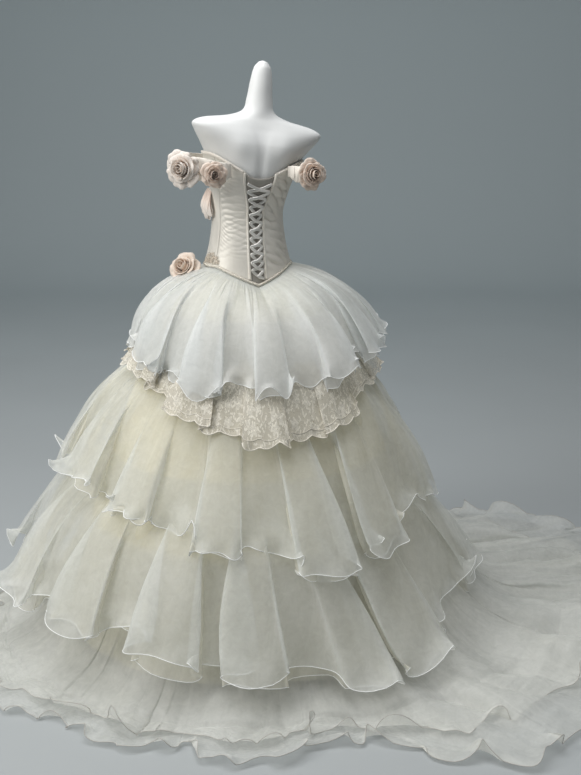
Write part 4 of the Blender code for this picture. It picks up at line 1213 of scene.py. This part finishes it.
# %% The floor skirt and train
def crumples(azimuth, radius, seed):
    """Soft creases at every angle, as cloth has where it was dropped on the floor."""
    rng = np.random.default_rng(seed)
    x, y = radius * np.cos(np.radians(azimuth)), radius * np.sin(np.radians(azimuth))
    total = np.zeros_like(x)
    for _ in range(9):
        turn, wave = rng.uniform(0, pi), rng.uniform(0.07, 0.26)
        bend = 0.02 * np.sin(rng.uniform(9, 24) * x + rng.uniform(0, 6)) + 0.02 * np.sin(17 * y + turn)
        run = (x * cos(turn) + y * sin(turn) + bend) * 2 * pi / wave + rng.uniform(0, 6)
        mask = 0.5 + 0.5 * np.sin(rng.uniform(5, 14) * x + rng.uniform(5, 14) * y + rng.uniform(0, 6))
        total += (1.02 - np.sqrt(np.sin(run / 2) ** 2 + 0.03)) ** 1.6 * mask * wave / 0.15
    return total / 3.0


def floor_folds(azimuth, down, seed):
    """How far the large folds stand out, and how far they lean aside."""
    rng = np.random.default_rng(seed)
    big, side = np.zeros((len(down), azimuth.shape[1])), np.zeros((len(down), azimuth.shape[1]))
    for place, width, depth in FLOOR_FOLDS:
        bend, tilt = rng.uniform(-5, 5), rng.uniform(-0.9, 0.9)
        crisp, curl = rng.uniform(1.2, 1.8), rng.uniform(-3, 3)
        offset = turned(azimuth, place + bend * (down - 1) ** 2 + curl * np.sin(down * 4 + place))
        depth *= 0.62 + 0.38 * float(smooth((abs(turned(place, FEWEST_FOLDS_AT)) - 55) / 40))
        fold = depth * bell(offset / (width * 0.9), crisp)
        big += fold
        side += fold * (tilt + 0.45 * np.tanh(offset / (0.45 * width)))
    return big, side


def floor_sheet(columns, fall_rows, run_rows, seed, top, clear, reach=1.0, above=0.0):
    """Points that fall from the petticoat to the floor, then run out along it to the hem."""
    azimuths = np.linspace(0, 360, columns, endpoint=False)
    touch, radius = all_around(FLOOR_SKIRT, azimuths)
    beyond = (radius - touch) * reach
    begin = np.linalg.norm(from_cone(top, clear)(azimuths)[:, :2], axis=1)
    s, q = np.linspace(0, 1, fall_rows), np.linspace(0, 1, run_rows + 1)[1:] ** 0.92
    drop, rise = np.array([between(FALL, x) for x in s]).T
    sink = np.array([between(RUN, x)[0] for x in q])
    a, down = np.broadcast_arrays(azimuths[None, :], np.concatenate([s, 1 + q])[:, None])
    big, lean = floor_folds(a, down[:, :1], seed)
    mid_out, mid_side = middle_waves(a, np.minimum(down, 2.0), 38, seed + 3)
    fine = waves(a, down * 5.0, 24, 90, 22, seed + 4, 14.0)
    lying = smooth((down - 0.72) / 0.35)
    ridge = np.where(down <= 1, big, np.maximum(0.0, big - FLOOR_FLAT * lying))
    middle = mid_out * 0.0032 * (0.35 + 0.65 * smooth(down / 0.5))
    radial = begin + (touch - begin) * np.clip(down, 0, 1) + beyond * np.clip(down - 1, 0, 1)
    radial += (1 - lying) * (middle + fine * 0.0016) + fine_pleats(170, a, down, seed + 5, 0.2)
    level, stand = np.concatenate([top * (1 - drop), 0 * q]), np.concatenate([rise * drop, sink])
    height = level[:, None] + ridge * stand[:, None]
    height += lying * (np.maximum(middle + 0.004, 0) + np.maximum(fine, -0.4) * 0.0014)
    height += lying * crumples(a, radial, seed + 11) * CRUMPLE_DEPTH
    side = lean * np.clip(down, 0, 1.6) / 1.2 + mid_side * 0.006 * smooth(down / 0.5)
    # the hem's loops
    rolled_out, rolled_up = curls(a, down / 2, seed + 12, 22, share=0.06, reach=0.055)
    edge = smooth((down - 1.74) / 0.26) * (0.75 + 0.45 * waves(a, 0.0, 3, 11, 5, seed + 8))
    lift, push = (waves(a, down, 26, 62, 14, seed + k, 1.2) for k in (6, 7))
    height += rolled_up * 0.7 + edge * (np.maximum(lift, -0.25) + 0.25) * LOOP_HEIGHT
    radial += rolled_out - rolled_up * 0.6 + edge * push * LOOP_SWAY
    side += edge * waves(a, down, 30, 66, 12, seed + 9, 1.2) * LOOP_SWAY
    points = out_of(a) * radial[..., None] + out_of(a + 90) * side[..., None]
    points[..., 2] = np.maximum(height + above, 0.0008 + above * 0.5)
    return points


def make_floor_tier(name, nodes, hem=0.0010, **shape):
    points = floor_sheet(**shape)
    made = sheet(name, points, train_organza, ring=True)
    mark_gathers(made, points)
    line = points[-1] + (0, 0, hem * 0.5)
    edge = rolled(name + "_hem", line, hem, wire_organza, "train_organza")
    settle(made, "train_organza", *nodes)


make_floor_tier("train", ["floor_skirt_train"], columns=810, fall_rows=26, run_rows=38, seed=41, top=0.335,
                clear=0.00075)
make_floor_tier("train_over", [], columns=640, fall_rows=22, run_rows=24, seed=47, top=0.340, clear=0.002,
                reach=0.52, above=0.009, hem=0.0009)

# %% [markdown]
# The corset's edges are finished with narrow bias bindings. Each is a strip rounded over its width,
# read off the form a little further out than the panels. Beads are strung along the waist seam.


# %% Bindings
ON_PANEL, BINDING, BINDING_SWELL, STITCH = EASE + SATIN + 0.0007, 0.0012, 0.0016, 0.0046


def edge_points(azimuths, edge, low, high, swell, rows=6):
    """A rounded strip that follows the neckline or the waist seam, between two heights above it."""
    share, azimuth = np.linspace(0, 1, rows)[:, None], azimuths[None, :]
    height = np.round(edge(azimuth) + high + (low - high) * share, 5)
    return body(azimuth, height, ON_PANEL + swell * np.sin(pi * share))


def make_lacing_edge(side, word):
    """A binding beside the lacing, with the rows of stitches that draw it in."""
    high = float(neckline(lacing_azimuth(HIGH_SEAM, side)))
    low = float(waist_edge(lacing_azimuth(LOW_SEAM, side)))
    height, share = grid(120, 7, (high - 0.001, low + 0.012))
    height = np.round(height, 5)
    azimuth = lacing_azimuth(height, side) - side * np.degrees((0.0004 + 0.0062 * share) / 0.1)
    swell = BINDING_SWELL * np.sin(pi * share) + 0.0003 * np.sin(height * 2 * pi / STITCH)
    points = body(azimuth, height, ON_PANEL + swell)[:, ::side]
    made = thick(sheet(f"lacing_binding_{word}", points, trim_satin, flip=True), 0.0014)
    settle(made, "trim_satin", f"lacing_edge_{word}")


def make_bindings():
    beside = 4.0
    first = float(lacing_azimuth(HIGH_SEAM, -1)) + beside
    last = float(lacing_azimuth(HIGH_SEAM, 1)) + 360 - beside
    neck = edge_points(np.linspace(first, last, 360), neckline, -0.0085, -0.0005, BINDING_SWELL)
    settle(thick(sheet("neck_binding", neck, sleeve_cloth), BINDING), "trim_satin", "neckline_binding")
    turn = np.arange(0, 360, 1.0)
    strip = edge_points(turn, waist_edge, 0.0008, 0.0075, 0.0018)
    strip = thick(sheet("waist_binding", strip, trim_satin, ring=True), BINDING)
    for name, above, out, step, radius, seed in (
        ("waist_beads", 0.0042, 0.0020, 0.0042, 0.0017, 3),
        ("waist_beads_small", 0.0080, 0.0008, 0.0033, 0.0011, 4),
    ):
        line = edge_points(turn, waist_edge, above, above, 0.0, 2)[0] + out_of(turn) * out
        grown(name, line_mesh(name, line), STRING, sequin, "trim_satin", Amount=step, Radius=radius,
              Seed=seed)
    settle(strip, "trim_satin", "waist_piping")
    for side, word in SIDES:
        make_lacing_edge(side, word)


make_bindings()

# %% [markdown]
# The lacing is one long flat satin cord, laced down to the basque and up again. Each turn rounds its
# edge and dips to the middle, so the rows nest like a plait. The route is a list of stops on the form,
# and a smooth curve through them gives the cord its bends; every crossing lifts it by its thickness. Its
# section has two ridges, as a narrow tubular ribbon has when it is pulled tight.

# %% The lacing
LACE_ROWS, LACE_DEPTH, LACE_WIDTH, LACE_HIGH, LACE_END, LACE_DIP = 12, 0.0052, 0.0082, 1.280, 0.022, 0.28


def lacing_stops():
    low = float(waist_edge(90.0)) + LACE_END
    at_edge = EASE + SATIN + LACE_DEPTH / 2
    at_middle = EASE + LACE_DEPTH / 2 + 0.0016
    over, inset = LACE_DEPTH + 0.0006, LACE_DEPTH / 2 + 0.0007
    down = [(k, 1 if k % 2 else -1, 0.0) for k in range(LACE_ROWS + 1)]
    up = [(k, -1 if k % 2 else 1, over) for k in range(LACE_ROWS - 1, -1, -1)]
    stops = []
    for k, side, lift in down + up:
        height = LACE_HIGH + (low - LACE_HIGH) * k / LACE_ROWS
        if stops:
            lower, upper = sorted((height, stops[-1][1]))
            stops.append((90.0, lower + (upper - lower) * LACE_DIP, at_middle + lift))
        stops.append((float(lacing_azimuth(height, side, inset)), height, at_edge + lift * 0.3))
    return np.array([body(*stop) for stop in stops])


def through(stops, steps, tight):
    """A smooth line through stops, with this many steps between each two."""
    padded = np.concatenate([2 * stops[:1] - stops[1:2], stops, 2 * stops[-1:] - stops[-2:-1]])
    t = np.linspace(0, 1, steps, endpoint=False)[:, None]
    near = zip(padded, padded[1:], padded[2:], padded[3:])
    line = [bent(t, b, (c - a) * tight, c, (d - b) * tight) for a, b, c, d in near]
    return np.concatenate([*line, stops[-1:]])


def unit(vectors):
    return vectors / np.linalg.norm(vectors, axis=-1)[..., None]


def fill_ends(mesh):
    bmesh.ops.holes_fill(mesh, edges=[edge for edge in mesh.edges if edge.is_boundary], sides=0)


def make_lacing():
    line = through(lacing_stops(), 9, 0.42)
    along = unit(np.gradient(line, axis=0))
    outward = line * (1, 1, 0)
    outward[:, 0] += leaning(line[:, 2])
    across = unit(np.cross(along, outward))
    outward = np.cross(across, along)
    turn = np.linspace(0, 2 * pi, 14, endpoint=False)[None, :, None]
    ridges = np.sin(turn) * (0.62 + 0.38 * np.abs(np.cos(turn)) ** 0.5)
    points = line[:, None] + np.cos(turn) * across[:, None] * LACE_WIDTH / 2
    points += ridges * outward[:, None] * LACE_DEPTH * 0.40
    made = reshaped(sheet("lacing", points, lace_cord, ring=True), fill_ends)
    settle(made, "lace_cord", "lacing_cord")


make_lacing()

# %% [markdown]
# Each off-the-shoulder sleeve is only a gathered band round an empty armhole. Its gathers run across
# the band, unevenly, and its two edges are drawn in, so the middle puffs. The right one has a small
# frill below its back end, with an uneven hem that looks torn by hand.

# %% Sleeves
SLEEVE_PATH = (  # step, x, y, height
    (0, 0.079, 0.0890, 1.304),
    (1, 0.128, 0.112, 1.308),
    (2, 0.180, 0.098, 1.314),
    (3, 0.214, 0.048, 1.312),
    (4, 0.222, -0.012, 1.308),
    (5, 0.202, -0.070, 1.312),
    (6, 0.150, -0.108, 1.318),
    (7, 0.084, -0.1075, 1.322),
)
SLEEVE_MIDDLE, SLEEVE_BULGE, SLEEVE_LIFT, RIGHT_REACH = 0.125, 0.008, 0.10, 0.58
LEFT_BAND, RIGHT_BAND, BAND_CUT = 0.060, 0.046, 1.3


def sleeve_place(side, step, tall, drop=0.0):
    """A point of a sleeve band, drop below its top edge, and the level way that it faces."""
    x, y, height = between(SLEEVE_PATH, step)
    middle = SLEEVE_MIDDLE
    if side < 0:
        inner = SLEEVE_PATH[0][1]
        x, middle = (inner + (value - inner) * RIGHT_REACH for value in (x, middle))
    away = unit(np.array([x - middle, y, 0.0])) * (side, 1, 1)
    lifted = height + 0.5 * tall + SLEEVE_LIFT * side * (x - 0.07) - drop
    return np.array([side * x - leaning(height), y, lifted]), away


def make_sleeve(word, side, tall, seed):
    wander = np.random.default_rng(seed).uniform(-1, 1, 12)
    s, step = grid(21, 240, along=(0, SLEEVE_PATH[-1][0]))
    top, away = (np.array(found) for found in zip(*(sleeve_place(side, k, tall) for k in step[0])))
    ends = np.minimum(step, SLEEVE_PATH[-1][0] - step)
    hold = smooth(ends / 0.5)
    depth = tall * (0.62 + 0.38 * smooth(ends / 0.9))
    belly = np.sin(pi * s).clip(0) ** 0.7
    first = np.sin(step * 15 + 1.6 * np.sin(step * 2.1 + wander[0]) + wander[1] * s * 3)
    second = step * 27 + 2.0 * np.sin(step * 1.3 + wander[2]) + 2.4 * s * wander[3]
    size = 0.6 + 0.4 * np.sin(step * 3.7 + wander[4])
    pleat = (first + 0.5 * np.sin(second + 1.5 * np.sin(3 * s))) * size
    tuck = 0.0016 * np.sin(step * 9 + wander[5]) * np.sin(2 * pi * s)
    out = 0.0085 * belly * hold + pleat * 0.0016 * (0.45 + 0.55 * belly) * (0.3 + 0.7 * hold) + 0.001
    sag = 0.0026 * np.sin(step * 4.4 + wander[6]) * hold + 0.0012 * np.sin(step * 21 + wander[7])
    points = top + away * (out + tuck * hold)[..., None]
    points[..., 2] -= s * depth + sag * (s - 0.3)
    made = thick(sheet(f"sleeve_band_{word}", points, sleeve_cloth, flip=side > 0), 0.0009)
    cut(made, round(tall * BAND_CUT, 3), sides=2)
    settle(made, "sleeve_organza", f"sleeve_{word}")


def panel_at(azimuths, share, out):
    """Points over a corset panel; share runs from the neckline to the waist seam."""
    azimuths, share, out = np.broadcast_arrays(azimuths, share, out)
    high, low = neckline(azimuths), waist_edge(azimuths)
    return body(azimuths, np.round(high + (low - high) * share, 5), out)


def make_ruffle():
    drop, k = grid(20, 150, along=(0, 6))
    fold = np.cos(k * pi + 0.9 * np.sin(k * 2.3 + 3 * drop)) + 0.4 * np.cos(3.1 * k + 3 * drop)
    out = ON_PANEL + drop * 0.016 + fold * (0.0006 + 0.0042 * drop)
    reach = drop * (0.16 + 0.05 * np.sin(k * 1.3 + 0.4) + 0.03 * np.sin(k * 4.1))
    turn = 110 + (2.3 + 0.55 * drop) * k + 1.2 * drop * np.sin(k * 2.9)
    made = sheet("ruffle", panel_at(turn, 0.05 + reach + 0.008 * fold * drop, out), organza_under)
    cut(made, 0.055, digits=3)
    settle(made, "sleeve_organza", "sleeve_ruffle_right")


make_sleeve("left", 1, LEFT_BAND, 61)
make_sleeve("right", -1, RIGHT_BAND, 62)
make_ruffle()

# %% [markdown]
# A fabric rose is a strip wound into a bud, with rings of wide petals sewn round it. Each petal is one
# grid of points. Its profile is a curve from the heart out to the rim: an inner petal cups the bud,
# an outer one opens flat, and every rim rolls back and ripples a little, each in its own way.

# %% Roses
ROSE_RINGS = (  # petals, reach, height, openness, width
    (3, 0.37, 0.99, 0.06, 165),
    (4, 0.54, 0.93, 0.35, 128),
    (5, 0.76, 0.74, 0.70, 104),
    (6, 1.00, 0.44, 1.00, 84),
)


def petal(turn, wide, reach, tall, openness, seed):
    """One petal as rows of points, from its base by the heart to its rim."""
    rng = np.random.default_rng(seed)
    t, a = np.broadcast_arrays(*grid(11, 14, along=(-1, 1)))
    skew, notch = rng.uniform(-0.12, 0.12), rng.uniform(0.02, 0.09)
    along = t * (1 - 0.22 * np.abs(a) ** 2.4 + skew * a - notch * bell(a / 0.22))
    half = wide / 2 * (0.40 + 0.60 * np.sin(pi / 2 * np.minimum(t * 1.5, 1)))
    bend_out, bend_up = reach * (1.12 - 0.62 * openness), tall * (0.35 + 0.72 * openness)
    radius = 2 * along * (1 - along) * bend_out + along**2 * reach + (1 - along) ** 2 * reach * 0.16
    height = 2 * along * (1 - along) * bend_up + along**2 * tall
    roll = smooth((along - 0.66) / 0.34) * rng.uniform(0.7, 1.25)
    ripple = np.sin(4.4 * a + rng.uniform(0, 6)) + 0.6 * np.sin(8.3 * a + rng.uniform(0, 6))
    ripple *= smooth((along - 0.3) / 0.6)
    crush = np.sin(11 * t + 5 * a + rng.uniform(0, 6)) * np.sin(7 * a - 4 * t + rng.uniform(0, 6))
    radius += reach * (0.10 * roll + 0.022 * ripple + 0.012 * crush)
    height += reach * (0.045 * ripple + 0.018 * crush) - tall * (0.10 + 0.12 * openness) * roll
    return polar(turn + a * half + 0.05 * np.sin(3 * t + seed), radius, height)


def bud(radius, tall, seed):
    """The wound strip at a rose's heart."""
    t, s = grid(7, 60)
    angle = s * 2 * pi * 2.4 + np.random.default_rng(seed).uniform(0, 6)
    reach = radius * (0.03 + 0.29 * s) * (1 + 0.16 * t + 0.06 * np.sin(angle * 2.3))
    return polar(angle, reach, tall * (0.30 + (0.66 + 0.06 * s + 0.045 * np.sin(angle * 1.7)) * t))


def hanging_petal(base, turn, long, wide, lift, seed):
    """A petal that hangs from its base: X and Y lie along the cloth beneath, Z stands off it."""
    rng = np.random.default_rng(seed)
    t, a = grid(13, 11, along=(-1, 1))
    along = t * (1 - 0.25 * a**2 - 0.06 * bell(a / 0.25))
    half = wide / 2 * (0.30 + 0.70 * np.sin(pi * np.minimum(t * 0.60 + 0.04, 0.5)))
    ripple = np.sin(4 * a + rng.uniform(0, 6)) * 0.6 + np.sin(7 * a + 6 * t + rng.uniform(0, 6)) * 0.4
    off = lift * np.sin(pi * np.minimum(along * 0.75, 1)) + 0.14 * wide * a**2 + 0.10 * wide * ripple * t
    x = along * long * cos(turn) - a * half * sin(turn)
    y = along * long * sin(turn) + a * half * cos(turn)
    return np.stack([base[0] + x, base[1] + y, np.maximum(off, 0.0) + 0.001], -1)


def rose(radius, tall, seed):
    """A rose's bud and petals round +Z, its back on the ground, as grids."""
    rng = np.random.default_rng(seed)
    grids = [bud(radius, tall, seed)]
    for ring, (count, reach, height, openness, wide) in enumerate(ROSE_RINGS):
        first = rng.uniform(0, 2 * pi)
        for k in range(count):
            turn = first + (k + rng.uniform(-0.18, 0.18)) * 2 * pi / count
            size = rng.uniform(0.90, 1.06)
            grids.append(petal(turn, radians(wide) * size, radius * reach * size,
                               tall * height * rng.uniform(0.92, 1.04), openness, seed * 40 + ring * 8 + k))
    return grids


def spray(seed, count, long, wide, lift, span):
    """Petals that hang from one place like a half-opened flower."""
    rng = np.random.default_rng(seed)
    grids = []
    for k in range(count):
        turn = radians(-90 + span * (k / (count - 1) * 2 - 1) + rng.uniform(-9, 9))
        base = (rng.uniform(-0.3, 0.3) * wide, long * (0.42 + rng.uniform(-0.10, 0.10)))
        size = rng.uniform(0.72, 1.05)
        grids.append(hanging_petal(base, turn, long * size, wide * rng.uniform(0.85, 1.15),
                                   lift * (0.35 + 0.65 * ((k * 3) % count) / count), seed + k))
    return grids


# %% [markdown]
# A finished rose is turned to face outwards and drooped a little towards the middle of the back, as its
# weight pulls the soft sleeve round. The petals below the left sleeve hang from one stitch.


# %% Flowers in their places
HIP_OUT, HIP_HEIGHT, LEFT_TURN, DROOP_TO = 0.170, 1.036, 352, 73


def on_sleeve(side, step, tall, drop, out):
    """A place on a sleeve band and the way that it faces."""
    before, after = (sleeve_place(side, step + k, tall, drop)[0] for k in (-0.1, 0.1))
    along = after - before
    facing = unit(np.array([along[1], -along[0], 0.0])) * -side
    return sleeve_place(side, step, tall, drop)[0] + facing * out, facing


def make_flower(name, node, grids, slot, spot, droop):
    """Turns grids made round +Z to the way their spot faces, and sews them on there."""
    place, facing = spot
    facing = unit(facing + np.array([cos(radians(DROOP_TO)), sin(radians(DROOP_TO)), 0.05]) * droop)
    turn = np.array(Vector(facing).to_track_quat("Z", "Y").to_matrix())
    grids = [grid @ turn.T + place for grid in grids]
    settle(thick(sheet(name, grids, PETALS[slot], flip=True, span=PETAL_UV), 0.0005, True), slot, node)


def make_flowers():
    """The roses of the two sleeves and the waist, and the petals that hang from the left sleeve."""
    seat = SLEEVE_BULGE + CLOTH + 0.0008
    below = body(LEFT_TURN, 1.222, EASE + SATIN + 0.0026)
    outwards = body(LEFT_TURN, 1.222, 1.0) - body(LEFT_TURN, 1.222, 0.0)
    hip = out_of(LEFT_TURN)
    for flower in (
        ("rose_left", "rosette_left_outer", rose(0.048, 0.048, 5), "pale_petals",
         on_sleeve(1, 2.45, LEFT_BAND, 0.033, seat - 0.006), 0.60),
        ("rose_left_back", "rosette_left_back", rose(0.035, 0.032, 19), "dusty_petals",
         on_sleeve(1, 1.15, LEFT_BAND, 0.036, seat), 0.2),
        ("rose_right", "rosette_right", rose(0.041, 0.042, 31), "dusty_petals",
         on_sleeve(-1, 1.70, RIGHT_BAND, 0.024, seat - 0.006), 0.70),
        ("petals_hanging", "petals_left", spray(47, 8, 0.082, 0.026, 0.018, 15.0), "pale_petals",
         (below, outwards), 0.6),
        ("rose_waist", "rosette_waist", rose(0.049, 0.046, 71), "peach_petals",
         (hip * HIP_OUT + (0, 0, HIP_HEIGHT), hip * 0.62 + (0, 0, 0.78)), 1.0),
    ):
        make_flower(*flower)


make_flowers()

# %% [markdown]
# A scrap of corded lace is laid over the left side of the waist, under the roses. It has the same
# material as the lace tier, at a third of its size, and its own beads.


# %% The lace motif
def make_motif():
    share, azimuths = grid(24, 50, along=(-4, 36))
    arch = np.sin(pi * np.clip((azimuths + 4) / 40, 0, 1)) ** 0.6
    wave = (0.012 * np.sin(azimuths * 0.55) + 0.012 * np.sin(azimuths * 1.3 + 1)) * (1 - share)
    tall = 0.964 - (0.030 + 0.060 * arch) * (1 - share) + wave * arch
    swell = 0.0012 + 0.0012 * np.sin(pi * share) * np.abs(np.sin(azimuths * 0.5))
    made = thick(sheet("lace_motif", panel_at(azimuths, tall, ON_PANEL + swell), motif_lace), 0.0008, True)
    glitter = grown("lace_motif_beads", made.data.copy(), SCATTER, sequin, "beige_lace", Amount=26000.0,
                    Radius=0.0013, Seed=9)
    settle(made, "beige_lace", "waist_lace_motif")


make_motif()

# %% [markdown]
# A white gown is best lit by one large soft source from the side, so that the folds have a light and a
# shaded flank, while a pale floor fills the shadows. The floor here sweeps up far behind into a
# backdrop, which keeps the horizon out of sight. Its grey is painted lighter the further it lies ahead
# of the camera: painted light, which stands in for how the light falls across the floor and backdrop.

# %% Floor, backdrop and light
FLOOR_START, FLOOR_END, SWEEP_CURVE, SWEEP_TOP, SWEEP_HALF = -12.0, 5.8, 2.2, 14.0, 70
SKY_COLOUR, SKY_STRENGTH = (0.62, 0.67, 0.69, 1), 0.13


def painted_light_grey(name, near, far):
    """Painted light: a grey that lightens with the way ahead of the camera, with a faint cloud in it."""
    finish = Finish(name)
    x, y = finish.split(finish.place())
    cloud = (finish.noise(0.9, 2.0) - 0.5) * 0.8
    # painted light: the grey lightens with the way ahead, standing in for how light falls across floor and
    # backdrop
    share = (x * AHEAD.x + y * AHEAD.y + cloud).between(0.0, 8.0)
    return finish.end(finish.principled(finish.tint(share, near, far), 0.7))


def make_sweep():
    """A floor that curves up into a backdrop behind the gown."""
    curve = [(FLOOR_END + SWEEP_CURVE * sin(radians(k)), SWEEP_CURVE * (1 - cos(radians(k))))
             for k in range(6, 91, 6)]
    profile = [(FLOOR_START, 0.0), (FLOOR_END, 0.0), *curve, (FLOOR_END + SWEEP_CURVE, SWEEP_TOP)]
    rows = [[on_stage(wide, far, z) for wide in (SWEEP_HALF, -SWEEP_HALF)] for far, z in profile]
    grey = painted_light_grey("floor_painted_light", (0.388, 0.410, 0.417), (0.81, 0.90, 0.925))
    sheet("floor", np.array(rows), grey)


def on_stage(aside, ahead, up):
    """A place that lies so far to the camera's right, ahead of it and above the floor."""
    return ASIDE * aside + AHEAD * ahead + Vector((0, 0, up))


def soft_light(name, spot, aim, size, power, colour, spread):
    lamp = bpy.data.lights.new(name, "AREA")
    lamp.shape, lamp.size, lamp.size_y = "RECTANGLE", *size
    lamp.energy, lamp.color, lamp.spread = power, colour, radians(spread)
    made = bpy.data.objects.new(name, lamp)
    scene.collection.objects.link(made)
    made.location = on_stage(*spot)
    made.rotation_euler = (on_stage(*aim) - made.location).to_track_quat("-Z", "Y").to_euler()


LIGHTS = (  # name, place and aim (aside, ahead, up), size, watts, colour, spread
    ("key", (-2.9, -1.7, 2.6), (0, 0, 0.9), (1.5, 1.8), 80, (1.0, 0.99, 0.965), 180),
    ("top", (-0.45, -0.4, 4.4), (0, 0, 0), (3.4, 3.4), 146, (0.98, 0.99, 1.0), 180),
    ("fill", (1.5, -1.0, 1.12), (0.75, -0.2, 0), (1.2, 1.2), 2.0, (1.0, 0.99, 0.95), 140),
)
make_sweep()
for light in LIGHTS:
    soft_light(*light)
scene.world = bpy.data.worlds.new("studio")
scene.world.use_nodes = True
sky = scene.world.node_tree.nodes["Background"].inputs
sky["Color"].default_value = SKY_COLOUR
sky["Strength"].default_value = SKY_STRENGTH
scene.view_settings.view_transform = "Standard"
print("stage set")
